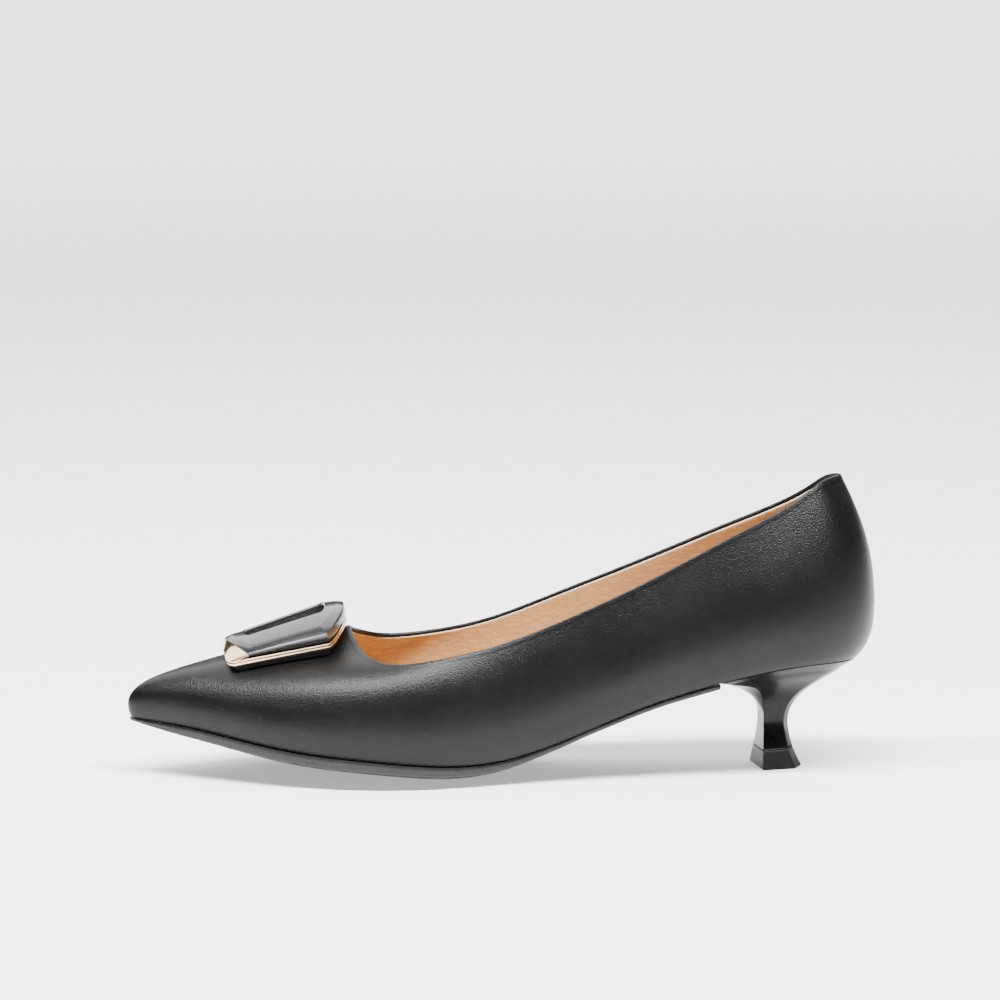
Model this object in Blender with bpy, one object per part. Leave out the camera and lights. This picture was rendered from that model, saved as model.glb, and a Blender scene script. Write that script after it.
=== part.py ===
"""A black leather pump with a pointed toe, a low flared heel and a buckle ornament. It is the left shoe.

Lengths are in metres. The toe points to -X, the wearer's outer side to -Y and up is +Z. The origin is the
middle of the face that the heel stands on. Stations along the shoe are shares of its length from the back.
"""

import math
from collections import namedtuple

import bmesh
import bpy
import numpy as np
from mathutils import Vector
from mathutils.bvhtree import BVHTree


def table(columns, *rows):
    """A short table of shares: each column's name gives that column as an array."""
    return namedtuple("Table", columns)(*np.array(rows).T)


# Sizes of the last
SHOE_LENGTH = 0.250
HEEL_OVERHANG = 0.0334
BALL_WIDTH = 0.080
SEAT_WIDTH = 0.058
SEAT_HEIGHT = 0.0375
BALL_HEIGHT = 0.0076
TOE_SPRING = 0.0118
BED_DISH = 0.0034

# Sizes of the upper
UPPER_WALL = 0.0018
BACK_HEIGHT = 0.0613
THROAT_HEIGHT = 0.0385
BACK_LEAN = 0.0119
VAMP_LENGTH = 0.0738
FOLD_DEPTH = 0.0024
FOLD_STEP = 0.0004

# Sizes of the bottom
INSOLE_THICKNESS = 0.0026
SOLE_EDGE = 0.0034
SOLE_CORNER = 0.0012
SOLE_LIP = 0.0009
SOLE_CROWN = 0.0050
CROWN_POWER = 1.4

# Sizes of the heel, whose front looks a little to the outer side
HEEL_FRONT = 0.0240
HEEL_SWING = math.radians(6.5)
HEEL_FOOT_LENGTH = 0.0157
HEEL_FOOT_WIDTH = 0.0200
TOP_PIECE_HEIGHT = 0.0064

# Sizes of the ornament
ORNAMENT_CENTRE = 0.0530
ORNAMENT_SLOPE = math.radians(15.2)
ORNAMENT_TAPER = 0.70
ORNAMENT_ARCH = 0.0450
FRAME_LENGTH = 0.0412
FRAME_WIDTH = 0.0424
FRAME_HEIGHT = 0.0041
FRAME_RISE = 0.0026
OPENING_LENGTH = 0.0280
OPENING_WIDTH = 0.0160
OPENING_BEVEL = 0.0005
INNER_DROP = 0.0008
OUTER_DROP = 0.0018
TIP_LIFT = 0.0020
FACET_SHARE = 0.66
TRAY_RIM = 0.0009
TRAY_HEIGHT = 0.0017
TRAY_SKIRT = 0.0003
GROOVE_DEPTH = 0.00045
PAD_HEIGHT = 0.0009
PAD_INSET = 0.0010

# Clearance between pieces that meet
GAP = 0.0003

# Height of the bottom of the last: arch is a share of the drop from seat to ball, spring of the toe spring
BED = table(
    "along arch spring",
    (0.00, 0.990, 0.000),
    (0.09, 1.010, 0.000),
    (0.15, 0.955, 0.000),
    (0.20, 0.870, 0.000),
    (0.25, 0.760, 0.000),
    (0.30, 0.640, 0.000),
    (0.35, 0.490, 0.000),
    (0.40, 0.325, 0.000),
    (0.45, 0.165, 0.000),
    (0.50, 0.048, 0.000),
    (0.55, 0.000, 0.000),
    (0.60, 0.000, 0.030),
    (0.65, 0.000, 0.130),
    (0.70, 0.000, 0.235),
    (0.78, 0.000, 0.390),
    (0.85, 0.000, 0.610),
    (0.92, 0.000, 0.850),
    (1.00, 0.000, 1.000),
)

# Outline of the last at its fullest, a row for each rib: half widths and tucks are shares of the local width.
# The last row lies past 1, because the smooth curve through the rows then rounds the toe off at 1
LAST = table(
    "along lateral medial lateral_tuck medial_tuck",
    (0.000, 0.000, 0.000, 0.118, 0.118),
    (0.012, 0.233, 0.233, 0.105, 0.105),
    (0.050, 0.400, 0.395, 0.088, 0.088),
    (0.120, 0.505, 0.490, 0.080, 0.080),
    (0.220, 0.525, 0.500, 0.074, 0.080),
    (0.330, 0.492, 0.440, 0.064, 0.086),
    (0.440, 0.455, 0.382, 0.052, 0.090),
    (0.540, 0.474, 0.400, 0.040, 0.070),
    (0.640, 0.517, 0.475, 0.029, 0.038),
    (0.740, 0.476, 0.472, 0.025, 0.026),
    (0.830, 0.356, 0.374, 0.023, 0.023),
    (0.920, 0.186, 0.214, 0.021, 0.021),
    (0.981, 0.068, 0.094, 0.021, 0.021),
    (1.008, -0.012, 0.012, 0.029, 0.029),
)

# The topline, a row for each rib: its reach from back to throat, half widths and rises over the bed
TOPLINE = table(
    "reach lateral medial lateral_rise medial_rise",
    (0.000, 0.000, 0.000, 1.000, 1.000),
    (0.021, 0.121, 0.121, 0.996, 0.978),
    (0.051, 0.207, 0.207, 0.974, 0.915),
    (0.106, 0.272, 0.272, 0.896, 0.840),
    (0.227, 0.341, 0.341, 0.838, 0.802),
    (0.397, 0.362, 0.362, 0.856, 0.860),
    (0.566, 0.352, 0.352, 0.978, 1.008),
    (0.718, 0.360, 0.360, 0.992, 1.004),
    (0.845, 0.384, 0.384, 0.890, 0.900),
    (0.923, 0.368, 0.366, 0.822, 0.856),
    (0.966, 0.300, 0.297, 0.840, 0.890),
    (0.989, 0.188, 0.188, 0.908, 0.944),
    (0.998, 0.088, 0.088, 0.977, 0.987),
    (1.000, 0.000, 0.000, 1.000, 1.000),
)

# The shape of each rib between them: shares of the way in to the topline and of the way up to it
RIBS = table(
    "side_up shoulder_in shoulder_up crown_in crown_up",
    (0.077, -0.050, 0.416, 0.250, 0.720),
    (0.080, -0.040, 0.420, 0.280, 0.730),
    (0.090, -0.010, 0.430, 0.380, 0.740),
    (0.100, 0.020, 0.440, 0.520, 0.750),
    (0.110, 0.050, 0.450, 0.570, 0.750),
    (0.140, 0.080, 0.460, 0.590, 0.760),
    (0.170, 0.100, 0.480, 0.560, 0.780),
    (0.190, 0.100, 0.490, 0.500, 0.800),
    (0.200, 0.080, 0.500, 0.420, 0.830),
    (0.200, 0.070, 0.520, 0.410, 0.860),
    (0.190, 0.050, 0.520, 0.420, 0.870),
    (0.180, 0.030, 0.535, 0.430, 0.780),
    (0.170, 0.025, 0.500, 0.490, 0.745),
    (0.170, 0.024, 0.475, 0.513, 0.700),
)

# The sole: its edge, corner and lip, the crown of its underside and the dish of the bed above it
SOLE = table(
    "along edge corner lip crown dish",
    (0.20, 0.40, 0.50, 0.00, 0.10, 0.30),
    (0.35, 0.40, 0.50, 0.00, 0.15, 0.30),
    (0.45, 0.45, 0.60, 0.10, 0.30, 0.40),
    (0.55, 0.72, 0.90, 0.60, 0.85, 0.85),
    (0.65, 0.80, 1.00, 1.00, 1.00, 1.00),
    (0.78, 0.85, 0.90, 1.00, 0.75, 0.80),
    (0.88, 0.76, 0.75, 1.00, 0.36, 0.50),
    (0.95, 0.55, 0.60, 0.80, 0.14, 0.25),
    (1.00, 0.12, 0.20, 0.40, 0.08, 0.10),
)

# The heel from its foot to the seat: shares of seat height, and of the foot's length and width. The bow is
# how far the middle of its front stands out before its corners
HEEL = table(
    "up front back half facet bow",
    (0.000, 0.400, 0.570, 0.500, 1.0, 0.00),
    (0.155, 0.365, 0.395, 0.395, 1.0, 0.00),
    (0.290, 0.330, 0.310, 0.295, 1.0, 0.00),
    (0.400, 0.315, 0.275, 0.242, 1.0, 0.00),
    (0.480, 0.315, 0.300, 0.240, 1.0, 0.00),
    (0.580, 0.335, 0.410, 0.290, 0.9, 0.05),
    (0.670, 0.385, 0.610, 0.400, 0.7, 0.15),
    (0.750, 0.465, 0.860, 0.560, 0.5, 0.30),
    (0.820, 0.620, 1.100, 0.745, 0.3, 0.42),
    (0.875, 0.900, 1.280, 0.910, 0.1, 0.38),
    (0.925, 1.250, 1.420, 1.040, 0.0, 0.20),
)

# The heel's section at its foot, from the front's outer corner round the back: shares back and across
HEEL_CORNERS = ((0.0, -1.0), (0.76, -0.83), (1.0, -0.22), (1.0, 0.22), (0.76, 0.83), (0.0, 1.0))

# Lower and upper edge of the groove round the tray's rim: shares of the tray's height
GROOVE_EDGES = (0.42, 0.58)

# How finely each piece is divided
RIB_STEPS = 4
RIB_SAMPLES = 81
WALL_SHARES = (0.0, 0.045, 0.10, 0.165, 0.24, 0.32, 0.41, 0.50, 0.60, 0.70, 0.80, 0.90, 1.0)
ACROSS = (-1.0, -0.95, -0.82, -0.6, -0.3, 0.0, 0.3, 0.6, 0.82, 0.95, 1.0)
INSOLE_ACROSS = (-1.0, -0.7, -0.35, 0.0, 0.35, 0.7, 1.0)
SOLE_ROWS = 40
INSOLE_ROWS = 40
HEEL_POINTS = 40
HEEL_LEVELS = (0.23, 0.30, 0.36, 0.42, 0.48, 0.54, 0.60, 0.66, 0.72, 0.78, 0.83, 0.87, 0.90, 0.925)
ORNAMENT_COLUMNS = 13
PAD_ROWS = 9
HEEL_CAP_SHARES = (0.92, 0.5, 0.1)

HEEL_BACK_X = HEEL_OVERHANG
TOE_X = HEEL_OVERHANG - SHOE_LENGTH
TOP_BACK_X = HEEL_BACK_X - BACK_LEAN
THROAT_X = TOE_X + VAMP_LENGTH


def mix(low, high, share):
    return low + (high - low) * share


def smooth_step(start, end, value):
    """0 before start, 1 after end, and a soft rise between."""
    share = np.clip((value - start) / (end - start), 0.0, 1.0)
    return share * share * (3 - 2 * share)


def spline(knots, points, at, period=0.0):
    """The smooth curve through these points, read at the given places. With a period it is a closed curve."""
    knots = np.asarray(knots, float)
    points = np.asarray(points, float).reshape(len(knots), -1)
    if period:
        knots = np.append(knots, knots[0] + period)
        points = np.vstack([points, points[:1]])
    gaps = np.diff(knots)
    slopes = np.diff(points, axis=0) / gaps[:, None]
    system = np.eye(len(knots))
    bends = np.zeros(points.shape)
    for k in range(1, len(knots) - 1):
        system[k, k - 1 : k + 2] = gaps[k - 1], 2 * (gaps[k - 1] + gaps[k]), gaps[k]
        bends[k] = 6 * (slopes[k] - slopes[k - 1])
    if period:
        system[0, [0, 1, -2]] = 2 * (gaps[-1] + gaps[0]), gaps[0], gaps[-1]
        bends[0] = 6 * (slopes[0] - slopes[-1])
        system[-1, [0, -1]] = 1, -1
    bends = np.linalg.solve(system, bends)
    at = np.atleast_1d(at)
    k = np.clip(np.searchsorted(knots, at, side="right") - 1, 0, len(gaps) - 1)
    gap = gaps[k][:, None]
    before = (at - knots[k])[:, None]
    after = gap - before
    curved = (bends[k] * after**3 + bends[k + 1] * before**3) / (6 * gap)
    straight = (points[k] / gap - bends[k] * gap / 6) * after
    straight += (points[k + 1] / gap - bends[k + 1] * gap / 6) * before
    return curved + straight


def column(rows, name, at):
    """One column of a table, read smoothly at these places of its first column."""
    return spline(rows[0], getattr(rows, name), at)[:, 0]


def along_at(x):
    return (HEEL_BACK_X - np.asarray(x, float)) / SHOE_LENGTH


def local_width(along):
    """The width that half widths are shares of: the seat's at the back, and the ball's in front."""
    return mix(SEAT_WIDTH, BALL_WIDTH, smooth_step(0.2, 0.6, along))


def local_rise(along):
    """The height that the topline's rises are shares of: the back's, and the throat's in front."""
    return mix(BACK_HEIGHT, THROAT_HEIGHT, smooth_step(0.08, 0.5, along))


def feather_height(x):
    """The height of the line where upper and sole meet."""
    along = np.clip(np.atleast_1d(along_at(x)), 0.0, 1.0)
    arch = column(BED, "arch", along) * (SEAT_HEIGHT - BALL_HEIGHT)
    spring = column(BED, "spring", along) * TOE_SPRING
    return BALL_HEIGHT + arch + spring


def bed_height(x, across):
    """The height of the last's bottom, which is dished between its edges at -1 and 1."""
    dish = column(SOLE, "dish", np.clip(np.atleast_1d(along_at(x)), SOLE.along[0], 1.0)) * BED_DISH
    return feather_height(x) - dish * (1 - np.asarray(across) ** 2)


def both_sides(rows, name):
    """A column for the outer side from back to toe, and then for the inner side on to the back."""
    lateral = getattr(rows, "lateral" + name)
    medial = getattr(rows, "medial" + name)
    return np.concatenate([lateral, medial[-2:0:-1]])


def round_trip(values):
    """A column that both sides share, from back to toe and on to the back."""
    return np.concatenate([values, values[-2:0:-1]])


def control_rings():
    """Five closed rings round the shoe: feather, side, shoulder, crown and topline."""
    along = round_trip(LAST.along)
    count = len(along)
    sign = np.where(np.arange(count) < len(LAST.along), -1.0, 1.0)
    width = local_width(along)
    side = np.stack([HEEL_BACK_X - along * SHOE_LENGTH, sign * both_sides(LAST, "") * width], axis=1)
    tangent = np.roll(side, -1, axis=0) - np.roll(side, 1, axis=0)
    inward = np.stack([tangent[:, 1], -tangent[:, 0]], axis=1)
    inward /= np.linalg.norm(inward, axis=1)[:, None]
    feather = side + inward * (both_sides(LAST, "_tuck") * width)[:, None]
    low = feather_height(feather[:, 0])
    top_x = mix(TOP_BACK_X, THROAT_X, round_trip(TOPLINE.reach))
    top_y = sign * both_sides(TOPLINE, "") * local_width(along_at(top_x))
    high = feather_height(top_x) + both_sides(TOPLINE, "_rise") * local_rise(along_at(top_x))
    topline = np.stack([top_x, top_y], axis=1)
    rings = [np.column_stack([feather, low])]
    for way_in, way_up in (
        (np.zeros(count), round_trip(RIBS.side_up)),
        (round_trip(RIBS.shoulder_in), round_trip(RIBS.shoulder_up)),
        (round_trip(RIBS.crown_in), round_trip(RIBS.crown_up)),
    ):
        plan = mix(side, topline, way_in[:, None])
        rings.append(np.column_stack([plan, mix(low, high, way_up)]))
    rings.append(np.column_stack([topline, high]))
    return rings


def rib_weights(share):
    """How much each of a rib's five control points counts at this share of the rib."""
    u = 2 * min(share, 1 - share)
    weights = [
        (1 - u) ** 3,
        u * (12 - 18 * u + 7 * u * u) / 4,
        u * u * (3 - 2 * u) / 2,
        u**3 / 4,
        0.0,
    ]
    return weights if share <= 0.5 else weights[::-1]


def rib_controls():
    """The five control points of every rib, RIB_STEPS ribs to each row of the tables."""
    rings = control_rings()
    spans = [np.linalg.norm(np.roll(ring, -1, axis=0) - ring, axis=1) for ring in (rings[1], rings[4])]
    spans = np.mean(spans, axis=0)
    period = spans.sum()
    knots = np.concatenate([[0.0], np.cumsum(spans)[:-1]])
    ends = np.append(knots, period)
    steps = np.arange(RIB_STEPS) / RIB_STEPS
    places = np.concatenate([mix(start, end, steps) for start, end in zip(ends[:-1], ends[1:])])
    return np.stack([spline(knots, ring, places, period) for ring in rings], axis=1)


def grid_normals(grid):
    """Outward directions at the points of a grid that is closed round the shoe and runs up its wall."""
    around = np.roll(grid, -1, axis=0) - np.roll(grid, 1, axis=0)
    upward = np.gradient(grid, axis=1)
    normals = np.cross(upward, around)
    return normals / np.linalg.norm(normals, axis=2)[..., None]


def upper_grids():
    """The outer and the inner surface of the upper, as grids of ribs by heights."""
    weights = np.array([rib_weights(share) for share in np.linspace(0.0, 1.0, RIB_SAMPLES)])
    outer = []
    for controls in rib_controls():
        rib = weights @ controls
        steps = np.concatenate([[0.0], np.cumsum(np.linalg.norm(np.diff(rib, axis=0), axis=1))])
        plain = steps[-1] - FOLD_DEPTH - FOLD_STEP
        places = [share * plain for share in WALL_SHARES] + [steps[-1] - FOLD_DEPTH, steps[-1]]
        outer.append(np.stack([np.interp(places, steps, rib[:, axis]) for axis in range(3)], axis=1))
    outer = np.array(outer)
    normals = grid_normals(outer)
    inner = outer - normals * UPPER_WALL
    inner[:, 0, 2] = feather_height(inner[:, 0, 0])
    folded = np.array(outer)
    folded[:, -2:] += normals[:, -2:] * FOLD_STEP
    return folded, inner


def new_material(name, colour, roughness, metallic=0.0):
    material = bpy.data.materials.new(name)
    material.use_nodes = True
    shader = material.node_tree.nodes["Principled BSDF"]
    shader.inputs["Base Color"].default_value = (*colour, 1.0)
    shader.inputs["Roughness"].default_value = roughness
    shader.inputs["Metallic"].default_value = metallic
    return material


def new_object(name, points, faces, material, smooth_angle=35.0):
    """A closed mesh with its faces turned outward. Points that coincide are joined."""
    mesh = bpy.data.meshes.new(name)
    mesh.from_pydata([tuple(point) for point in points], [], faces)
    work = bmesh.new()
    work.from_mesh(mesh)
    bmesh.ops.remove_doubles(work, verts=work.verts, dist=0.000001)
    bmesh.ops.recalc_face_normals(work, faces=work.faces)
    if work.calc_volume(signed=True) < 0:
        bmesh.ops.reverse_faces(work, faces=work.faces)
    work.to_mesh(mesh)
    work.free()
    mesh.materials.append(material)
    mesh.shade_smooth()
    mesh.set_sharp_from_angle(angle=math.radians(smooth_angle))
    made = bpy.data.objects.new(name, mesh)
    bpy.context.scene.collection.objects.link(made)
    return made


def ring_faces(rings, count, closed_tube=False):
    """Quads between each ring and the next, and from the last back to the first for a closed tube."""
    pairs = [(k, k + 1) for k in range(rings - 1)]
    if closed_tube:
        pairs.append((rings - 1, 0))
    return [
        (low * count + k, low * count + (k + 1) % count, high * count + (k + 1) % count, high * count + k)
        for low, high in pairs
        for k in range(count)
    ]


def slab(name, top, bottom, material):
    """A solid between two grids of the same rows and columns."""
    rows, columns = top.shape[:2]
    size = rows * columns

    def corner(layer, row, place):
        return layer * size + row * columns + place

    faces = []
    for row in range(rows - 1):
        for place in range(columns - 1):
            for layer in (0, 1):
                quad = [corner(layer, row, place), corner(layer, row, place + 1)]
                faces.append(tuple(quad + [corner(layer, row + 1, place + 1), corner(layer, row + 1, place)]))
    rim = [(0, place) for place in range(columns)]
    rim += [(row, columns - 1) for row in range(1, rows)]
    rim += [(rows - 1, place) for place in range(columns - 2, -1, -1)]
    rim += [(row, 0) for row in range(rows - 2, 0, -1)]
    for here, there in zip(rim, rim[1:] + rim[:1]):
        faces.append((corner(0, *here), corner(0, *there), corner(1, *there), corner(1, *here)))
    return new_object(name, np.concatenate([top.reshape(-1, 3), bottom.reshape(-1, 3)]), faces, material)


def make_upper(folded, inner, material):
    """The hollow wall: rings up the outside, over the topline and down the inside."""
    levels = [folded[:, k] for k in range(folded.shape[1])]
    levels += [inner[:, k] for k in range(inner.shape[1] - 1, -1, -1)]
    faces = ring_faces(len(levels), len(folded), closed_tube=True)
    return new_object("upper", np.concatenate(levels), faces, material)


def edge_pair(ring, start_lateral, start_medial, rows):
    """Points down both sides of a ring, in rows from these places to the toe."""
    count = len(ring)
    toe = count / 2
    shares = np.linspace(0.0, 1.0, rows)
    plan = ring[:, :2]
    lateral = spline(np.arange(count), plan, mix(start_lateral, toe, shares), count)
    medial = spline(np.arange(count), plan, mix(start_medial, toe, shares), count)
    return lateral, medial


def cross_rows(lateral, medial, across):
    """Plan points of each row, from its outer to its inner edge."""
    share = (np.array(across) + 1) / 2
    return mix(lateral[:, None, :], medial[:, None, :], share[None, :, None])


def across_shares(flat, across):
    """The shares across for these rows, where a row that ends in a point lies wholly at the edge."""
    width = np.linalg.norm(flat[:, -1] - flat[:, 0], axis=1)
    return np.where(width[:, None] < GAP, 1.0, np.abs(across)[None, :])


def make_insole(inner, material):
    """The sock board that lies on the bed, fitted inside the wall from heel to toe."""
    count = len(inner)
    rise = INSOLE_THICKNESS / np.maximum(inner[:, 1, 2] - inner[:, 0, 2], GAP)
    top_ring = mix(inner[:, 0], inner[:, 1], np.clip(rise, 0.0, 1.0)[:, None])
    layers = []
    for ring, lift in ((top_ring, INSOLE_THICKNESS), (inner[:, 0], 0.0)):
        plan = ring[:, :2]
        tangent = np.roll(plan, -1, axis=0) - np.roll(plan, 1, axis=0)
        inward = np.stack([tangent[:, 1], -tangent[:, 0]], axis=1)
        plan = plan + GAP * inward / np.linalg.norm(inward, axis=1)[:, None]
        lateral, medial = edge_pair(plan, 0, count, INSOLE_ROWS)
        flat = cross_rows(lateral, medial, INSOLE_ACROSS)
        across = across_shares(flat, INSOLE_ACROSS)
        height = bed_height(flat[..., 0].ravel(), across.ravel()).reshape(flat.shape[:2])
        layers.append(np.dstack([flat, height + lift]))
    return slab("insole", layers[0], layers[1], material)


def sole_outline(feather):
    """The sole's outline: the feather line with a lip that fades behind the ball."""
    plan = feather[:, :2]
    tangent = np.roll(plan, -1, axis=0) - np.roll(plan, 1, axis=0)
    outward = np.stack([-tangent[:, 1], tangent[:, 0]], axis=1)
    outward /= np.linalg.norm(outward, axis=1)[:, None]
    lip = column(SOLE, "lip", np.clip(along_at(plan[:, 0]), SOLE.along[0], 1.0)) * SOLE_LIP
    return plan + outward * lip[:, None]


def heel_line(plan):
    """How far points lie behind the heel's front line, which is square to the heel and not to the shoe."""
    return plan[:, 0] * math.cos(HEEL_SWING) + plan[:, 1] * math.sin(HEEL_SWING) + HEEL_FRONT


def line_crossings(outline, offset):
    """Where the outline crosses the heel's front line, as places along its outer and inner side."""
    behind = heel_line(outline) - offset
    half = len(outline) // 2
    lateral = np.interp(0.0, -behind[: half + 1], np.arange(half + 1))
    medial = np.interp(0.0, behind[half:], np.arange(half, len(outline)))
    return lateral, medial


def make_outsole(outline, material):
    """The thin sole from the heel's front to the toe, with a rounded edge and a crowned underside."""
    lateral, medial = edge_pair(outline, *line_crossings(outline, -GAP), SOLE_ROWS)
    flat = cross_rows(lateral, medial, ACROSS)
    across = across_shares(flat, ACROSS).ravel()
    x = flat[..., 0].ravel()
    along = np.clip(along_at(x), SOLE.along[0], 1.0)
    top = bed_height(x, across) - GAP
    edge = column(SOLE, "edge", along) * SOLE_EDGE
    corner = column(SOLE, "corner", along) * SOLE_CORNER * (across < 1.0)
    crown = column(SOLE, "crown", along) * SOLE_CROWN * (1 - across**CROWN_POWER)
    under = np.maximum(feather_height(x) - GAP - edge - corner - crown, 0.0)
    grids = [np.dstack([flat, height.reshape(flat.shape[:2])]) for height in (top, under)]
    return slab("outsole", grids[0], grids[1], material)


def facet_outline(count):
    """A unit heel section with flat front and sides and a back of three facets."""
    points = []
    ahead = HEEL_CORNERS[1:] + HEEL_CORNERS[:1]
    for here, there, steps in zip(HEEL_CORNERS, ahead, facet_steps(count)):
        for step in range(steps):
            points.append([mix(here[0], there[0], step / steps), mix(here[1], there[1], step / steps)])
    return np.array(points)


def facet_steps(count):
    """How many points each of the six edges of a heel section takes."""
    side = count // 5
    return (side, side // 2, count // 10, side // 2, side, count - 2 * side - 2 * (side // 2) - count // 10)


def heel_frame(local):
    """Points of the heel's own frame, back and inward, in the shoe's frame."""
    cos, sin = math.cos(HEEL_SWING), math.sin(HEEL_SWING)
    return np.stack([local[:, 0] * cos - local[:, 1] * sin, local[:, 0] * sin + local[:, 1] * cos], axis=1)


def seat_ring(outline, count):
    """The heel's top outline: along the shoe's outline round the back, and straight across the front."""
    lateral, medial = line_crossings(outline, GAP)
    steps = facet_steps(count)
    around = count - steps[-1]
    total = len(outline)
    places = np.linspace(lateral, medial - total, around + 1)
    curve = spline(np.arange(total), outline, places % total, total)
    front = mix(curve[-1][None], curve[0][None], (np.arange(steps[-1]) / steps[-1])[:, None])
    return np.vstack([curve[:-1], front])


def heel_ring(up, seat, seat_z, count):
    """One level of the heel: its facets at the foot turn into the round seat higher up."""
    front, back, half, facet, bow = (float(column(HEEL, name, up)[0]) for name in HEEL._fields[1:])
    cos, sin = math.cos(HEEL_SWING), math.sin(HEEL_SWING)
    own = np.stack([seat[:, 0] * cos + seat[:, 1] * sin, -seat[:, 0] * sin + seat[:, 1] * cos], axis=1)
    low, high = own.min(axis=0), own.max(axis=0)
    unit_seat = (own - low) / (high - low) * (1, 2) - (0, 1)
    unit = mix(unit_seat, facet_outline(count), np.clip(facet, 0.0, 1.0))
    length = (front + back) * HEEL_FOOT_LENGTH
    bowed = bow * (1 - unit[:, 1] ** 2) * np.clip(1 - 4 * unit[:, 0], 0.0, 1.0)
    back_way = unit[:, 0] * length - (front + bowed) * HEEL_FOOT_LENGTH
    local = np.stack([back_way, unit[:, 1] * half * HEEL_FOOT_WIDTH], axis=1)
    level = SEAT_HEIGHT + (seat_z - SEAT_HEIGHT) * up**4
    return np.column_stack([heel_frame(local), up * level])


def capped_rings(name, rings, material, smooth_angle=35.0):
    """A solid of stacked rings with its first and last ring filled."""
    count = len(rings[0])
    faces = ring_faces(len(rings), count)
    last = (len(rings) - 1) * count
    faces += [tuple(range(count))[::-1], tuple(range(last, last + count))]
    return new_object(name, np.concatenate(rings), faces, material, smooth_angle)


def make_heel(outline, material, piece_material):
    """The heel block from the seat down, and the wearing piece under it."""
    count = HEEL_POINTS
    seat = seat_ring(outline, count)
    front_steps = facet_steps(count)[-1]
    front_across = 1 - 2 * np.arange(front_steps) / front_steps
    seat_across = np.concatenate([np.ones(count - front_steps), front_across])
    seat_z = bed_height(seat[:, 0], seat_across) - GAP
    piece_top = TOP_PIECE_HEIGHT / SEAT_HEIGHT
    gap_share = GAP / SEAT_HEIGHT
    rings = [heel_ring(up, seat, seat_z, count) for up in (piece_top, *HEEL_LEVELS)]
    under = np.array(rings[-1])
    top = np.column_stack([seat, seat_z])
    for share in (0.5, 1.0):
        rings.append(mix(under, top, share))
    middle = seat.mean(axis=0)
    for shrink in HEEL_CAP_SHARES:
        plan = mix(middle, seat, shrink)
        rings.append(np.column_stack([plan, bed_height(plan[:, 0], 0.0) - GAP]))
    heel = capped_rings("heel", rings, material)
    piece_rings = []
    for share in (0.0, 0.5, 1.0):
        ring = heel_ring(share * (piece_top - gap_share), seat, seat_z, count)
        ring[:, 2] = share * (TOP_PIECE_HEIGHT - GAP)
        piece_rings.append(ring)
    return heel, capped_rings("heel_top_piece", piece_rings, piece_material)


class Saddle:
    """The ornament's own frame, bent over the vamp: along the shoe, across it and up from the tray's seat."""

    def __init__(self, upper):
        mesh = upper.data
        points = [vertex.co for vertex in mesh.vertices]
        self.vamp = BVHTree.FromPolygons(points, [tuple(face.vertices) for face in mesh.polygons])
        self.origin = Vector((TOE_X + ORNAMENT_CENTRE, 0.0, 0.0))
        underside = tray_grid(self, 0.0).reshape(-1, 3)
        self.origin.z = PAD_HEIGHT + max(self.vamp_height(x, y) - z for x, y, z in underside)

    def vamp_height(self, x, y):
        """The height of the vamp here, or of its nearest point where the ornament stands out past it."""
        hit = self.vamp.ray_cast(Vector((x, y, SHOE_LENGTH)), Vector((0, 0, -1)))[0]
        if hit is None:
            hit = self.vamp.find_nearest(Vector((x, y, THROAT_HEIGHT)))[0]
        return hit.z

    def at(self, along, across, up):
        """A point of the ornament in the shoe's frame."""
        turn = across / ORNAMENT_ARCH
        radius = ORNAMENT_ARCH + up
        side = radius * math.sin(turn)
        rise = radius * math.cos(turn) - ORNAMENT_ARCH
        cos, sin = math.cos(ORNAMENT_SLOPE), math.sin(ORNAMENT_SLOPE)
        return self.origin + Vector((along * cos - rise * sin, side, along * sin + rise * cos))


def frame_ends(across):
    """Where the frame's toe side and throat side lie at this share across, for a half length of 1."""
    return -1.0 + 0.30 * abs(across) ** 1.35, 1.0 - 0.40 * abs(across) ** 1.9


def tray_ends(across):
    """The tray squares the corners at the toe side, and follows the frame at the throat side."""
    corner = max(abs(across) - 0.86, 0.0) / 0.14
    return -1.03 + 0.10 * corner**2, frame_ends(across)[1]


def opening_ends(across):
    """The opening's ends are rounded a little at its corners."""
    return -1.0 + 0.12 * abs(across) ** 3, 1.0 - 0.12 * abs(across) ** 3


def column_shares():
    """Places across the ornament, closer together towards its edges."""
    return np.sin(np.linspace(-math.pi / 2, math.pi / 2, ORNAMENT_COLUMNS))


def tapered(along, half_width):
    """A half width at this place along the ornament, which narrows towards the toe."""
    return half_width * mix(ORNAMENT_TAPER, 1.0, (along / (FRAME_LENGTH / 2) + 1) / 2)


def ornament_ring(saddle, ends, length, width, up, rise=0.0, tip=0.0, skirt=0.0):
    """A closed ring of the ornament. It rises along it, has its toe side's middle lifted by the tip and hangs
    by the skirt at its sides.
    """
    shares = column_shares()
    places = [(ends(share)[0] * length / 2, share, tip * (1 - abs(share))) for share in shares]
    places += [(ends(share)[1] * length / 2, share, 0.0) for share in shares[::-1]]
    points = []
    for along, share, lift in places:
        height = up + lift + rise * along / FRAME_LENGTH - skirt * share**2
        points.append(saddle.at(along, share * tapered(along, width / 2), height))
    return np.array(points)


def tray_grid(saddle, clearance):
    """Rows of points this far under the tray over the pad's reach, from toe side to throat side."""
    length = FRAME_LENGTH / 2 - PAD_INSET
    width = FRAME_WIDTH / 2 - PAD_INSET
    rows = []
    for row in range(PAD_ROWS):
        points = []
        for share in column_shares():
            along = mix(*tray_ends(share), row / (PAD_ROWS - 1)) * length
            hang = clearance + TRAY_SKIRT * share**2
            points.append(saddle.at(along, share * tapered(along, width), -hang))
        rows.append(points)
    return np.array(rows)


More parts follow.
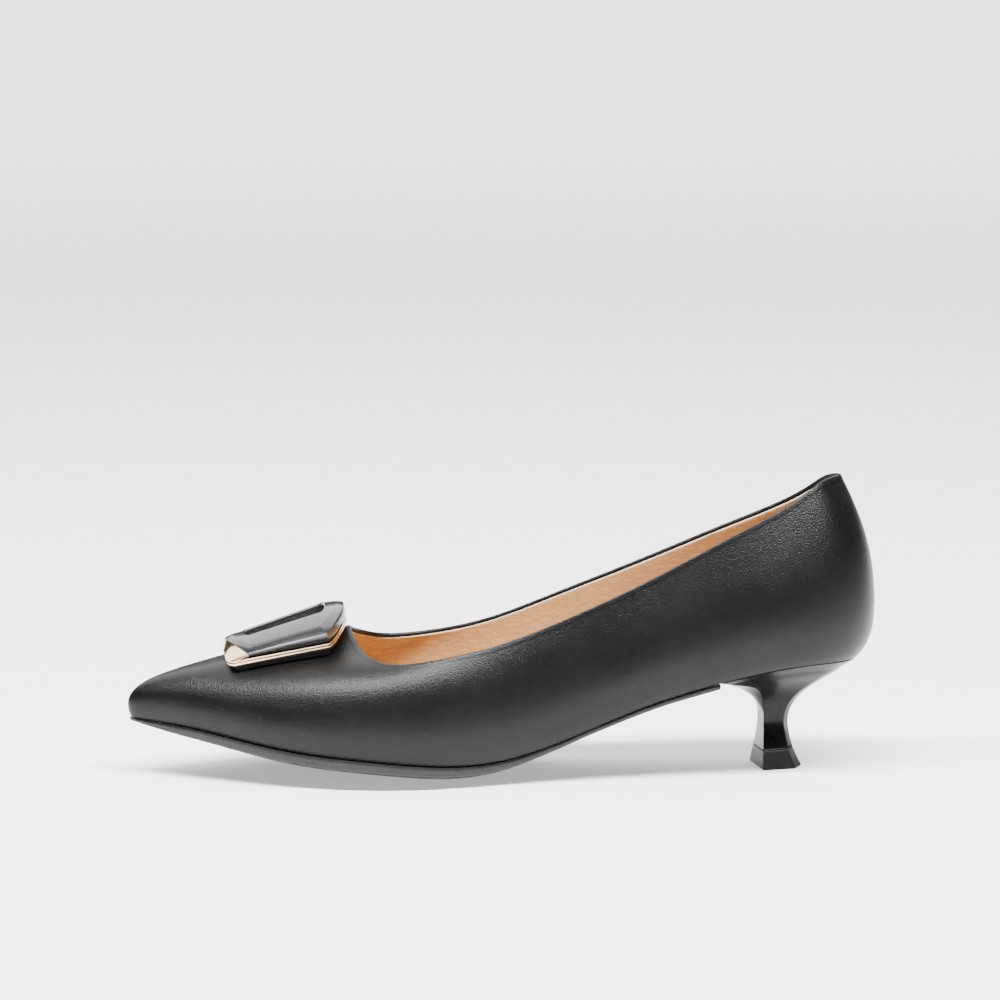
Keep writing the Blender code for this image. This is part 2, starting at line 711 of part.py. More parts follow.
def strip_faces(start):
    """Quads across a ring of the ornament, from its toe side to its throat side."""
    last = start + 2 * ORNAMENT_COLUMNS - 1
    return [(start + k, start + k + 1, last - k - 1, last - k) for k in range(ORNAMENT_COLUMNS - 1)]


def make_frame(saddle, material):
    """The enamelled frame: a bevelled ring with a long opening."""
    low = TRAY_HEIGHT + GAP
    high = low + FRAME_HEIGHT
    hole = (OPENING_LENGTH, OPENING_WIDTH)
    lip = (OPENING_LENGTH + 2 * OPENING_BEVEL, OPENING_WIDTH + 2 * OPENING_BEVEL)
    wide = (FRAME_LENGTH, FRAME_WIDTH)
    facet = (mix(OPENING_LENGTH, FRAME_LENGTH, FACET_SHARE), mix(OPENING_WIDTH, FRAME_WIDTH, FACET_SHARE))
    levels = [
        (opening_ends, *hole, low),
        (opening_ends, *hole, high - OPENING_BEVEL, FRAME_RISE),
        (opening_ends, *lip, high, FRAME_RISE),
        (frame_ends, *facet, high - INNER_DROP, FRAME_RISE, FACET_SHARE * TIP_LIFT),
        (frame_ends, *wide, high - OUTER_DROP, FRAME_RISE, TIP_LIFT),
        (frame_ends, *wide, low),
        (frame_ends, *facet, low),
    ]
    rings = [ornament_ring(saddle, *level) for level in levels]
    faces = ring_faces(len(rings), len(rings[0]), closed_tube=True)
    return new_object("buckle_frame", np.concatenate(rings), faces, material, 15.0)


def make_tray(saddle, material):
    """The gold tray: a plate whose rim has a groove between two beads."""
    length = FRAME_LENGTH + 2 * TRAY_RIM
    width = FRAME_WIDTH + 2 * TRAY_RIM
    low, high = GROOVE_EDGES
    rings = []
    for inset, up in ((0, 0), (0, low), (GROOVE_DEPTH, low), (GROOVE_DEPTH, high), (0, high), (0, 1)):
        size = (length - 2 * inset, width - 2 * inset)
        rings.append(ornament_ring(saddle, tray_ends, *size, up * TRAY_HEIGHT, skirt=(1 - up) * TRAY_SKIRT))
    count = len(rings[0])
    faces = ring_faces(len(rings), count) + strip_faces(0) + strip_faces((len(rings) - 1) * count)
    return new_object("buckle_tray", np.concatenate(rings), faces, material, 30.0)


def make_pad(saddle, material):
    """The pad that beds the flat underside of the tray on the round vamp."""
    top = tray_grid(saddle, GAP)
    bottom = np.array(top)
    for point in bottom.reshape(-1, 3):
        point[2] = saddle.vamp_height(point[0], point[1]) + GAP
    return slab("buckle_base", top, bottom, material)


def clear_scene():
    for made in list(bpy.data.objects):
        bpy.data.objects.remove(made, do_unlink=True)


def main():
    clear_scene()
    leather = new_material("black_calf", (0.018, 0.018, 0.020), 0.38)
    sock = new_material("tan_leather", (0.55, 0.30, 0.13), 0.55)
    edge = new_material("black_sole", (0.012, 0.012, 0.013), 0.30)
    lacquer = new_material("black_heel", (0.008, 0.008, 0.009), 0.12)
    rubber = new_material("black_rubber", (0.014, 0.014, 0.014), 0.45)
    gold = new_material("pale_gold", (0.90, 0.72, 0.50), 0.16, 1.0)
    enamel = new_material("black_enamel", (0.020, 0.020, 0.022), 0.14)

    folded, inner = upper_grids()
    upper = make_upper(folded, inner, leather)
    make_insole(inner, sock)
    outline = sole_outline(folded[:, 0])
    make_outsole(outline, edge)
    make_heel(outline, lacquer, rubber)
    saddle = Saddle(upper)
    make_pad(saddle, rubber)
    make_tray(saddle, gold)
    make_frame(saddle, enamel)


if __name__ == "__main__":
    main()
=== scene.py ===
"""A black leather pump with a pointed toe and a buckle ornament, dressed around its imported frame.

Lengths are in metres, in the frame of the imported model: the toe points to -X, the wearer's outer side
to -Y and up is +Z. The origin is the middle of the face that the heel stands on. Stations along the
shoe are shares of its length from the back.
"""

from __future__ import annotations

import logging
import math
from collections import namedtuple
from dataclasses import dataclass, field
from enum import Enum
from typing import Any, Callable, Sequence

import bmesh
import bpy
import numpy as np
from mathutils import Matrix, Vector


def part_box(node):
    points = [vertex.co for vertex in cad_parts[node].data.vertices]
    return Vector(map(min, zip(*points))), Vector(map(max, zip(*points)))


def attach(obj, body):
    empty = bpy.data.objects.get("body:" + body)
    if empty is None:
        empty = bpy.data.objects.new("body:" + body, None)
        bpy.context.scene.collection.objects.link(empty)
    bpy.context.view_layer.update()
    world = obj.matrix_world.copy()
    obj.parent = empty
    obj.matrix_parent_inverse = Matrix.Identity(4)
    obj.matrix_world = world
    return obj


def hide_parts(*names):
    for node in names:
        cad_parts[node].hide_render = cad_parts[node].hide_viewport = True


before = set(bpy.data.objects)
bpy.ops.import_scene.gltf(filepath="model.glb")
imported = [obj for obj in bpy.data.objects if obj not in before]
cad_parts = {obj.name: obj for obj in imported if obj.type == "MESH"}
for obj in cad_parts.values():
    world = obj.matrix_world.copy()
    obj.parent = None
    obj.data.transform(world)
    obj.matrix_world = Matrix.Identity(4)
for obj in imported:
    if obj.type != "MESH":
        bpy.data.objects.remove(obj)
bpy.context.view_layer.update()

log = logging.getLogger("pump")

Array = np.ndarray
Colour = tuple[float, float, float]


class Slot(Enum):
    """The record's material slots."""

    UPPER = "upper_leather"
    SOCK = "sock_leather"
    SOLE = "sole_edge"
    HEEL = "heel_lacquer"
    TOP_PIECE = "top_piece"
    GOLD = "buckle_gold"
    ENAMEL = "buckle_enamel"


def table(columns: str, *rows: tuple[float, ...]) -> Any:
    """Return rows of shares as a named tuple that gives each column as an array."""
    return namedtuple("Table", columns)(*np.array(rows).T)


def mix(low: Any, high: Any, share: Any) -> Any:
    """Return the value at this share of the way from low to high."""
    return low + (high - low) * share


def smooth_step(start: float, end: float, value: Any) -> Any:
    """Return 0 before start, 1 after end, and a soft rise between."""
    share = np.clip((value - start) / (end - start), 0.0, 1.0)
    return share * share * (3 - 2 * share)


def spline(knots: Any, points: Any, at: Any, period: float = 0.0) -> Array:
    """Read the smooth curve through some points.

    Args:
        knots: The places of the points along the curve.
        points: A row of numbers for each knot.
        at: The places to read.
        period: The length of a closed curve, or 0 for an open one.

    Returns:
        A row of numbers for each place.
    """
    knots = np.asarray(knots, float)
    points = np.asarray(points, float).reshape(len(knots), -1)
    if period:
        knots = np.append(knots, knots[0] + period)
        points = np.vstack([points, points[:1]])
    gaps = np.diff(knots)
    slopes = np.diff(points, axis=0) / gaps[:, None]
    system = np.eye(len(knots))
    bends = np.zeros(points.shape)
    for k in range(1, len(knots) - 1):
        system[k, k - 1 : k + 2] = gaps[k - 1], 2 * (gaps[k - 1] + gaps[k]), gaps[k]
        bends[k] = 6 * (slopes[k] - slopes[k - 1])
    if period:
        system[0, [0, 1, -2]] = 2 * (gaps[-1] + gaps[0]), gaps[0], gaps[-1]
        bends[0] = 6 * (slopes[0] - slopes[-1])
        system[-1, [0, -1]] = 1, -1
    bends = np.linalg.solve(system, bends)
    at = np.atleast_1d(at)
    k = np.clip(np.searchsorted(knots, at, side="right") - 1, 0, len(gaps) - 1)
    gap = gaps[k][:, None]
    before = (at - knots[k])[:, None]
    after = gap - before
    curved = (bends[k] * after**3 + bends[k + 1] * before**3) / (6 * gap)
    straight = (points[k] / gap - bends[k] * gap / 6) * after
    straight += (points[k + 1] / gap - bends[k + 1] * gap / 6) * before
    return curved + straight


def column(rows: Any, name: str, at: Any) -> Array:
    """Return one column of a table, read smoothly at these places of its first column."""
    return spline(rows[0], getattr(rows, name), at)[:, 0]


def unit(vectors: Array) -> Array:
    """Return the vectors at a length of 1."""
    return vectors / np.maximum(np.linalg.norm(vectors, axis=-1), 1e-12)[..., None]


def outward_plan(plan: Array) -> Array:
    """Return the directions out of a closed outline that runs down the outer side to the toe first."""
    tangent = np.roll(plan, -1, axis=0) - np.roll(plan, 1, axis=0)
    return unit(np.stack([-tangent[:, 1], tangent[:, 0]], axis=1))


class Wire:
    """An output socket, whose sums and products are written as Python expressions."""

    def __init__(self, nodes: Nodes, socket: Any) -> None:
        """Wrap one output socket of these nodes."""
        self.nodes = nodes
        self.socket = socket

    def maths(self, operation: str, *values: Any) -> Wire:
        """Return a Math node of these values."""
        return self.nodes.node("ShaderNodeMath", {"operation": operation}, dict(enumerate(values)))

    def __add__(self, other: Any) -> Wire:
        """Return self + other."""
        return self.maths("ADD", self, other)

    __radd__ = __add__

    def __sub__(self, other: Any) -> Wire:
        """Return self - other."""
        return self.maths("SUBTRACT", self, other)

    def __rsub__(self, other: Any) -> Wire:
        """Return other - self."""
        return self.maths("SUBTRACT", other, self)

    def __mul__(self, other: Any) -> Wire:
        """Return self * other."""
        return self.maths("MULTIPLY", self, other)

    __rmul__ = __mul__

    def soft(self, low: float, high: float, start: float = 0.0, end: float = 1.0) -> Wire:
        """Return a soft rise between two values.

        Args:
            low: Where the rise starts.
            high: Where it ends.
            start: The value before it.
            end: The value after it.

        Returns:
            The risen value.
        """
        settings = {"interpolation_type": "SMOOTHSTEP"}
        values = {"Value": self, "From Min": low, "From Max": high, "To Min": start, "To Max": end}
        return self.nodes.node("ShaderNodeMapRange", settings, values)


class Nodes:
    """The nodes of a material or a world, and the one way to add a node to them."""

    def __init__(self, owner: Any) -> None:
        """Open the nodes of a material or a world."""
        owner.use_nodes = True
        self.tree = owner.node_tree

    def feed(self, node: Any, socket: Any, value: Any) -> None:
        """Link a wire to a node's socket, or set the socket's value.

        Args:
            node: The node.
            socket: The socket's name or number.
            value: A wire, a number or a colour.
        """
        if isinstance(value, Wire):
            self.tree.links.new(value.socket, node.inputs[socket])
            return
        if isinstance(value, tuple) and len(value) == 3 and node.inputs[socket].type == "RGBA":
            value = (*value, 1.0)
        node.inputs[socket].default_value = value

    def node(
        self, kind: str, settings: dict | None = None, values: dict | None = None, output: Any = 0
    ) -> Wire:
        """Add a node.

        Args:
            kind: The node's type.
            settings: The node's properties.
            values: What its sockets take, by name or number: numbers, colours or wires.
            output: The output to return, by name or number.

        Returns:
            The chosen output.
        """
        made = self.tree.nodes.new(kind)
        for name, value in (settings or {}).items():
            setattr(made, name, value)
        for socket, value in (values or {}).items():
            self.feed(made, socket, value)
        return Wire(self, made.outputs[output])


class Shader(Nodes):
    """One material with its Principled shader."""

    def __init__(self, name: str, **constants: Any) -> None:
        """Make the material.

        Args:
            name: The material's name.
            constants: Values of the Principled shader's sockets, with _ for each space in their names.
        """
        self.material = bpy.data.materials.new(name)
        super().__init__(self.material)
        self.principled = self.tree.nodes["Principled BSDF"]
        self.dress(**constants)

    def place(self) -> Wire:
        """Return the surface's own place, in metres."""
        return self.node("ShaderNodeTexCoord", output="Object")

    def axis(self, name: str) -> Wire:
        """Return one coordinate of the surface's place."""
        return self.node("ShaderNodeSeparateXYZ", values={0: self.place()}, output=name)

    def stretched(self, scale: tuple[float, float, float]) -> Wire:
        """Return the surface's place with each axis scaled."""
        return self.node("ShaderNodeVectorMath", {"operation": "MULTIPLY"}, {0: self.place(), 1: scale})

    def moved(self, place: Wire, warp: Wire) -> Wire:
        """Return a place moved by a warp."""
        return self.node("ShaderNodeVectorMath", {"operation": "ADD"}, {0: place, 1: warp})

    def noise(self, size: float, detail: float = 3.0, at: Wire | None = None) -> Wire:
        """Return soft noise whose forms are about this size."""
        values = {"Vector": at or self.place(), "Scale": 1 / size, "Detail": detail}
        return self.node("ShaderNodeTexNoise", None, values)

    def cells(self, size: float, feature: str, at: Wire) -> Wire:
        """Return the distance from the middle of cells of about this size, or to their edges."""
        return self.node("ShaderNodeTexVoronoi", {"feature": feature}, {"Vector": at, "Scale": 1 / size})

    def blend(self, factor: Any, first: Any, second: Any) -> Wire:
        """Return a mix of two colours."""
        return self.node("ShaderNodeMix", {"data_type": "RGBA"}, {"Factor": factor, 6: first, 7: second}, 2)

    def bump(self, height: Wire, depth: float, strength: float = 1.0, under: Wire | None = None) -> Wire:
        """Return the normal of a relief.

        Args:
            height: Its height, as a share of its depth.
            depth: Its depth.
            strength: How strongly it shows.
            under: The normal of another relief that it lies on.

        Returns:
            The normal.
        """
        values: dict = {"Height": height, "Distance": depth, "Strength": strength}
        if under:
            values["Normal"] = under
        return self.node("ShaderNodeBump", None, values)

    def dress(self, **values: Any) -> bpy.types.Material:
        """Feed the Principled shader's sockets.

        Args:
            values: Wires or constants for the sockets, with _ for each space in their names.

        Returns:
            The material.
        """
        for socket, value in values.items():
            self.feed(self.principled, socket.replace("_", " "), value)
        return self.material


@dataclass(frozen=True)
class Calf:
    """Black calf with a fine pebbled grain and a satin sheen."""

    black: Colour = (0.0028, 0.0028, 0.0030)
    worn: Colour = (0.0052, 0.0052, 0.0054)
    roughness: float = 0.32
    pebble: float = 0.00041
    depth: float = 0.00011
    patch: float = 0.022
    warp_size: float = 0.004
    warp: float = 0.0003

    def material(self) -> bpy.types.Material:
        """Make the finish.

        Returns:
            The material.
        """
        shader = Shader("black_calf", Specular_IOR_Level=0.2, Coat_Roughness=0.3, IOR=1.5)
        warp = shader.noise(self.warp_size, 2.0) * self.warp
        pebbles = shader.cells(self.pebble, "SMOOTH_F1", shader.moved(shader.place(), warp))
        fine = shader.noise(self.pebble * 0.8, 2.0)
        grain = shader.bump(fine, self.depth * 0.7, 0.7)
        relief = shader.bump(1 - pebbles, self.depth, 0.9, grain)
        cloud = shader.noise(self.patch).soft(0.35, 0.68)
        return shader.dress(
            Base_Color=shader.blend(cloud * 0.3 + fine * 0.4, self.black, self.worn),
            Roughness=fine * 0.12 + cloud * 0.02 + (self.roughness - 0.07),
            Coat_Weight=cloud * 0.01 + 0.01,
            Normal=relief,
        )


@dataclass(frozen=True)
class TanLeather:
    """Tan lining leather with a fine wrinkled grain, with painted shade darkening its creases."""

    name: str = "tan_lining"
    light: Colour = (0.60, 0.35, 0.15)
    deep: Colour = (0.43, 0.225, 0.085)
    roughness: float = 0.48
    wrinkle: float = 0.0026
    pore: float = 0.0006
    patch: float = 0.018
    warp_size: float = 0.006
    warp: float = 0.004
    stretch: tuple[float, float, float] = (0.55, 0.8, 1.5)

    def material(self) -> bpy.types.Material:
        """Make the finish.

        Returns:
            The material.
        """
        shader = Shader(self.name, Specular_IOR_Level=0.4, IOR=1.45)
        place = shader.moved(shader.stretched(self.stretch), shader.noise(self.warp_size) * self.warp)
        crease_relief_and_shade = shader.cells(self.wrinkle, "DISTANCE_TO_EDGE", place).soft(0.0, 0.28)
        pores = shader.noise(self.pore, 2.0)
        patches = shader.noise(self.patch)
        # The creases' share of the tone is painted shade: the colour is darker along the wrinkle lines.
        # Patches and pores vary the tone at random.
        tone = crease_relief_and_shade * 0.35 + patches * 0.55 + pores * 0.2
        relief = shader.bump(crease_relief_and_shade, 0.00006, 0.5, shader.bump(pores, 0.00005, 0.6))
        return shader.dress(
            Base_Color=shader.blend(tone, self.deep, self.light),
            Roughness=pores * 0.12 + (self.roughness - 0.04),
            Normal=relief,
        )


@dataclass(frozen=True)
class CutEdge:
    """The pale raw edge of the lining leather under the folded topline."""

    pale: Colour = (0.78, 0.62, 0.44)
    deep: Colour = (0.58, 0.42, 0.27)
    fibre: float = 0.0009

    def material(self) -> bpy.types.Material:
        """Make the finish.

        Returns:
            The material.
        """
        shader = Shader("lining_edge", Roughness=0.6)
        fibres = shader.noise(self.fibre)
        return shader.dress(
            Base_Color=shader.blend(fibres.soft(0.3, 0.7), self.deep, self.pale),
            Normal=shader.bump(fibres, 0.00005),
        )


@dataclass(frozen=True)
class SoleFinish:
    """Black sole leather, painted and waxed at its edge and finely brushed underneath."""

    black: Colour = (0.005, 0.005, 0.0055)
    grey: Colour = (0.016, 0.016, 0.0165)
    roughness: float = 0.27
    brush: float = 0.0011
    stretch: tuple[float, float, float] = (0.16, 1.0, 1.0)
    cloud: float = 0.03

    def material(self) -> bpy.types.Material:
        """Make the finish.

        Returns:
            The material.
        """
        shader = Shader("black_sole", Specular_IOR_Level=0.28)
        brushed = shader.noise(self.brush, at=shader.stretched(self.stretch))
        clouds = shader.noise(self.cloud).soft(0.3, 0.7)
        return shader.dress(
            Base_Color=shader.blend(brushed * 0.5 + clouds * 0.3, self.black, self.grey),
            Roughness=brushed * 0.08 + clouds * 0.06 + (self.roughness - 0.06),
            Coat_Weight=clouds * 0.05 + 0.03,
            Normal=shader.bump(brushed, 0.000015, 0.7),
        )


@dataclass(frozen=True)
class Lacquer:
    """Glossy black, with a faint waviness under the gloss."""

    name: str
    colour: Colour = (0.004, 0.004, 0.0045)
    roughness: float = 0.26
    wave: float = 0.00003
    coat: float = 0.10
    specular: float = 0.12
    ripple: float = 0.007
    dust: float = 0.0005
    dusty: float = 1.3

    def material(self) -> bpy.types.Material:
        """Make the finish.

        Returns:
            The material.
        """
        shader = Shader(self.name, Specular_IOR_Level=self.specular, Coat_Roughness=self.roughness / 2)
        waves = shader.noise(self.ripple, 1.5)
        dust = shader.noise(self.dust, 2.0).soft(0.45, 0.75)
        tone = shader.blend(dust, self.colour, tuple(value * self.dusty for value in self.colour))
        return shader.dress(
            Base_Color=tone,
            Roughness=dust * 0.02 + (self.roughness - 0.01),
            Coat_Weight=dust * -0.02 + self.coat,
            Normal=shader.bump(waves, self.wave, 0.5),
        )


@dataclass(frozen=True)
class Rubber:
    """Satin black rubber."""

    name: str = "black_rubber"
    black: Colour = (0.006, 0.006, 0.0063)
    roughness: float = 0.36
    specular: float = 0.4
    grain: float = 0.0007
    worn: float = 1.8

    def material(self) -> bpy.types.Material:
        """Make the finish.

        Returns:
            The material.
        """
        shader = Shader(self.name, Specular_IOR_Level=self.specular)
        fine = shader.noise(self.grain)
        return shader.dress(
            Base_Color=shader.blend(fine, self.black, tuple(value * self.worn for value in self.black)),
            Roughness=fine * 0.16 + (self.roughness - 0.08),
            Normal=shader.bump(fine, 0.00003, 0.6),
        )


@dataclass(frozen=True)
class Gold:
    """Polished pale gold plate with a trace of fine rubbing."""

    bright: Colour = (1.0, 0.78, 0.52)
    warm: Colour = (0.94, 0.67, 0.40)
    roughness: float = 0.11
    rub: float = 0.0012
    stretch: tuple[float, float, float] = (0.2, 1.0, 1.0)
    cloud: float = 0.012

    def material(self) -> bpy.types.Material:
        """Make the finish.

        Returns:
            The material.
        """
        shader = Shader("pale_gold", Metallic=1.0)
        rubbed = shader.noise(self.rub, at=shader.stretched(self.stretch))
        clouds = shader.noise(self.cloud, 2.0)
        return shader.dress(
            Base_Color=shader.blend(clouds.soft(0.3, 0.7), self.bright, self.warm),
            Roughness=rubbed * 0.09 + (self.roughness - 0.04),
            Normal=shader.bump(clouds, 0.00004, 0.4),
        )


def made_of(finish: Any) -> Any:
    """Return a dataclass field that holds the finish as a material."""
    return field(default_factory=finish.material)


@dataclass
class Finishes:
    """The shoe's materials, one of each."""

    calf: bpy.types.Material = made_of(Calf())
    lining: bpy.types.Material = made_of(TanLeather())
    sock: bpy.types.Material = made_of(
        TanLeather("tan_sock", (0.58, 0.33, 0.14), (0.44, 0.235, 0.09), roughness=0.44, wrinkle=0.0017)
    )
    edge: bpy.types.Material = made_of(CutEdge())
    sole: bpy.types.Material = made_of(SoleFinish())
    heel: bpy.types.Material = made_of(Lacquer("black_heel"))
    rubber: bpy.types.Material = made_of(Rubber())
    # The pad's near-black, dull finish is partly its own black and partly painted shade: darker than the
    # other blacks, for the shade under the tray.
    pad: bpy.types.Material = made_of(Rubber("black_pad_painted_shade", (0.002, 0.002, 0.002), roughness=0.7, specular=0.1))
    gold: bpy.types.Material = made_of(Gold())
    enamel: bpy.types.Material = made_of(
        Lacquer("black_enamel", (0.012, 0.012, 0.013), roughness=0.24, wave=0.00002, coat=0.6, specular=0.5)
    )


@dataclass
class Draft:
    """A mesh being made: its points, its faces and the material of each face."""

    points: list[Array] = field(default_factory=list)
    faces: list[tuple[int, ...]] = field(default_factory=list)
    slots: list[int] = field(default_factory=list)
    merge: float = 0.000002

    def add(self, points: Array, faces: Sequence[tuple[int, ...]], slot: int = 0) -> None:
        """Add points and the faces between them.

        Args:
            points: Points in the shoe's frame.
            faces: Corners, counted from the first of these points.
            slot: The number of the faces' material.
        """
        start = sum(len(part) for part in self.points)
        self.points.append(np.asarray(points, float).reshape(-1, 3))
        self.faces += [tuple(start + corner for corner in face) for face in faces]
        self.slots += [slot] * len(faces)

    def grid(self, rows: Array, slot: int = 0, closed: bool = False, wrapped: bool = False) -> None:
        """Add the quads of a grid of points.

        Args:
            rows: Points by rows and places along a row.
            slot: The number of the faces' material.
            closed: Whether each row's last place meets its first.
            wrapped: Whether the last row meets the first.
        """
        count, places = rows.shape[:2]
        faces = []
        for row in range(count if wrapped else count - 1):
            here, there = row * places, (row + 1) % count * places
            for place in range(places if closed else places - 1):
                after = (place + 1) % places
                faces.append((here + place, here + after, there + after, there + place))
        self.add(rows, faces, slot)

    def disc(self, ring: Array) -> None:
        """Fill a ring with one face."""
        self.add(ring, [tuple(range(len(ring)))])

    def piece(
        self, name: str, materials: Sequence[bpy.types.Material], smooth_angle: float = 40.0
    ) -> bpy.types.Object:
        """Make the object, with points that are nearer than the merge distance joined.

        Args:
            name: The piece's name.
            materials: Its materials, in the order of their numbers.
            smooth_angle: Edges sharper than this many degrees stay sharp.

        Returns:
            The object, with its faces turned outward.
        """
        mesh = bpy.data.meshes.new(name)
        mesh.from_pydata([tuple(point) for point in np.concatenate(self.points)], [], self.faces)
        for material in materials:
            mesh.materials.append(material)
        mesh.polygons.foreach_set("material_index", self.slots)
        work = bmesh.new()
        work.from_mesh(mesh)
        bmesh.ops.remove_doubles(work, verts=work.verts, dist=self.merge)
        bmesh.ops.recalc_face_normals(work, faces=work.faces)
        closed = all(edge.is_manifold for edge in work.edges)
        if closed and work.calc_volume(signed=True) < 0:
            bmesh.ops.reverse_faces(work, faces=work.faces)
        work.to_mesh(mesh)
        work.free()
        mesh.shade_smooth()
        mesh.set_sharp_from_angle(angle=math.radians(smooth_angle))
        made = bpy.data.objects.new(name, mesh)
        bpy.context.scene.collection.objects.link(made)
        log.info("%s: %d faces", name, len(mesh.polygons))
        return made


def ride(piece: bpy.types.Object, slot: Slot, *nodes: str) -> bpy.types.Object:
    """Let a piece ride on the shoe's one body.

    Args:
        piece: The piece.
        slot: Not used.
        nodes: The nodes of the frame that it stands for.

    Returns:
        The piece.
    """
    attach(piece, "root")
    if nodes:
        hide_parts(*nodes)
    return piece


@dataclass(frozen=True)
class Last:
    """The form that the shoe is built on: its bottom, its ribs and its topline."""

    length: float = 0.250
    overhang: float = 0.0334
    ball_width: float = 0.080
    seat_width: float = 0.058
    seat_height: float = 0.0375
    ball_height: float = 0.0076
    toe_spring: float = 0.0118
    bed_dish: float = 0.0034
    back_height: float = 0.0613
    throat_height: float = 0.0385
    back_lean: float = 0.0119
    vamp_length: float = 0.0738
    # Stations between which the shoe widens from seat to ball, and its topline comes down
    widening: tuple[float, float] = (0.2, 0.6)
    lowering: tuple[float, float] = (0.08, 0.5)
    # Height of the bottom: arch is a share of the drop from seat to ball, spring of the toe spring
    bed: Any = field(
        default=table(
            "along arch spring",
            (0.00, 0.990, 0.000),
            (0.09, 1.010, 0.000),
            (0.15, 0.955, 0.000),
            (0.20, 0.870, 0.000),
            (0.25, 0.760, 0.000),
            (0.30, 0.640, 0.000),
            (0.35, 0.490, 0.000),
            (0.40, 0.325, 0.000),
            (0.45, 0.165, 0.000),
            (0.50, 0.048, 0.000),
            (0.55, 0.000, 0.000),
            (0.60, 0.000, 0.030),
            (0.65, 0.000, 0.130),
            (0.70, 0.000, 0.235),
            (0.78, 0.000, 0.390),
            (0.85, 0.000, 0.610),
            (0.92, 0.000, 0.850),
            (1.00, 0.000, 1.000),
        )
    )
    # Outline at its fullest, a row for each rib: half widths and tucks are shares of the local width
    fullest: Any = field(
        default=table(
            "along lateral medial lateral_tuck medial_tuck",
            (0.000, 0.000, 0.000, 0.118, 0.118),
            (0.012, 0.233, 0.233, 0.105, 0.105),
            (0.050, 0.400, 0.395, 0.088, 0.088),
            (0.120, 0.505, 0.490, 0.080, 0.080),
            (0.220, 0.525, 0.500, 0.074, 0.080),
            (0.330, 0.492, 0.440, 0.064, 0.086),
            (0.440, 0.455, 0.382, 0.052, 0.090),
            (0.540, 0.474, 0.400, 0.040, 0.070),
            (0.640, 0.517, 0.475, 0.029, 0.038),
            (0.740, 0.476, 0.472, 0.025, 0.026),
            (0.830, 0.356, 0.374, 0.023, 0.023),
            (0.920, 0.186, 0.214, 0.021, 0.021),
            (0.981, 0.068, 0.094, 0.021, 0.021),
            (1.008, -0.012, 0.012, 0.029, 0.029),
        )
    )
    # The topline: its reach from back to throat, half widths and rises over the bed
    topline: Any = field(
        default=table(
            "reach lateral medial lateral_rise medial_rise",
            (0.000, 0.000, 0.000, 1.000, 1.000),
            (0.021, 0.121, 0.121, 0.996, 0.978),
            (0.051, 0.207, 0.207, 0.974, 0.915),
            (0.106, 0.272, 0.272, 0.896, 0.840),
            (0.227, 0.341, 0.341, 0.838, 0.802),
            (0.397, 0.362, 0.362, 0.856, 0.860),
            (0.566, 0.352, 0.352, 0.978, 1.008),
            (0.718, 0.360, 0.360, 0.992, 1.004),
            (0.845, 0.384, 0.384, 0.890, 0.900),
            (0.923, 0.368, 0.366, 0.822, 0.856),
            (0.966, 0.300, 0.297, 0.840, 0.890),
            (0.989, 0.188, 0.188, 0.908, 0.944),
            (0.998, 0.088, 0.088, 0.977, 0.987),
            (1.000, 0.000, 0.000, 1.000, 1.000),
        )
    )
    # The shape of each rib between them: shares of the way in to the topline and of the way up to it
    ribs: Any = field(
        default=table(
            "side_up shoulder_in shoulder_up crown_in crown_up",
            (0.077, -0.050, 0.416, 0.250, 0.720),
            (0.080, -0.040, 0.420, 0.280, 0.730),
            (0.090, -0.010, 0.430, 0.380, 0.740),
            (0.100, 0.020, 0.440, 0.520, 0.750),
            (0.110, 0.050, 0.450, 0.570, 0.750),
            (0.140, 0.080, 0.460, 0.590, 0.760),
            (0.170, 0.100, 0.480, 0.560, 0.780),
            (0.190, 0.100, 0.490, 0.500, 0.800),
            (0.200, 0.080, 0.500, 0.420, 0.830),
            (0.200, 0.070, 0.520, 0.410, 0.860),
            (0.190, 0.050, 0.520, 0.420, 0.870),
            (0.180, 0.030, 0.535, 0.430, 0.780),
            (0.170, 0.025, 0.500, 0.490, 0.745),
            (0.170, 0.024, 0.475, 0.513, 0.700),
        )
    )
    # The sole's edge, corner, lip and crown, and the dish of the bed above it
    sole: Any = field(
        default=table(
            "along edge corner lip crown dish",
            (0.20, 0.40, 0.50, 0.00, 0.10, 0.30),
            (0.35, 0.40, 0.50, 0.00, 0.15, 0.30),
            (0.45, 0.45, 0.60, 0.10, 0.30, 0.40),
            (0.55, 0.72, 0.90, 0.60, 0.85, 0.85),
            (0.65, 0.80, 1.00, 1.00, 1.00, 1.00),
            (0.78, 0.85, 0.90, 1.00, 0.75, 0.80),
            (0.88, 0.76, 0.75, 1.00, 0.36, 0.50),
            (0.95, 0.55, 0.60, 0.80, 0.14, 0.25),
            (1.00, 0.12, 0.20, 0.40, 0.08, 0.10),
        )
    )

    @property
    def toe_x(self) -> float:
        """The toe's place along the shoe."""
        return self.overhang - self.length

    @property
    def throat_x(self) -> float:
        """The throat's place along the shoe."""
        return self.toe_x + self.vamp_length

    def along(self, x: Any) -> Array:
        """Return the share of the shoe's length at x."""
        return (self.overhang - np.asarray(x, float)) / self.length

    def sole_column(self, name: str, x: Any) -> Array:
        """Return a column of the sole's table at x."""
        return column(self.sole, name, np.clip(np.atleast_1d(self.along(x)), self.sole.along[0], 1.0))

    def feather(self, x: Any) -> Array:
        """Return the height of the line where upper and sole meet.

        Args:
            x: Places along the shoe.

        Returns:
            A height for each place.
        """
        along = np.clip(np.atleast_1d(self.along(x)), 0.0, 1.0)
        arch = column(self.bed, "arch", along) * (self.seat_height - self.ball_height)
        return self.ball_height + arch + column(self.bed, "spring", along) * self.toe_spring

    def bed_height(self, x: Any, across: Any) -> Array:
        """Return the height of the dished bottom, between its edges at -1 and 1."""
        return self.feather(x) - self.sole_column("dish", x) * self.bed_dish * (1 - np.asarray(across) ** 2)

    def width(self, along: Any) -> Any:
        """Return the width that half widths are shares of."""
        return mix(self.seat_width, self.ball_width, smooth_step(*self.widening, along))

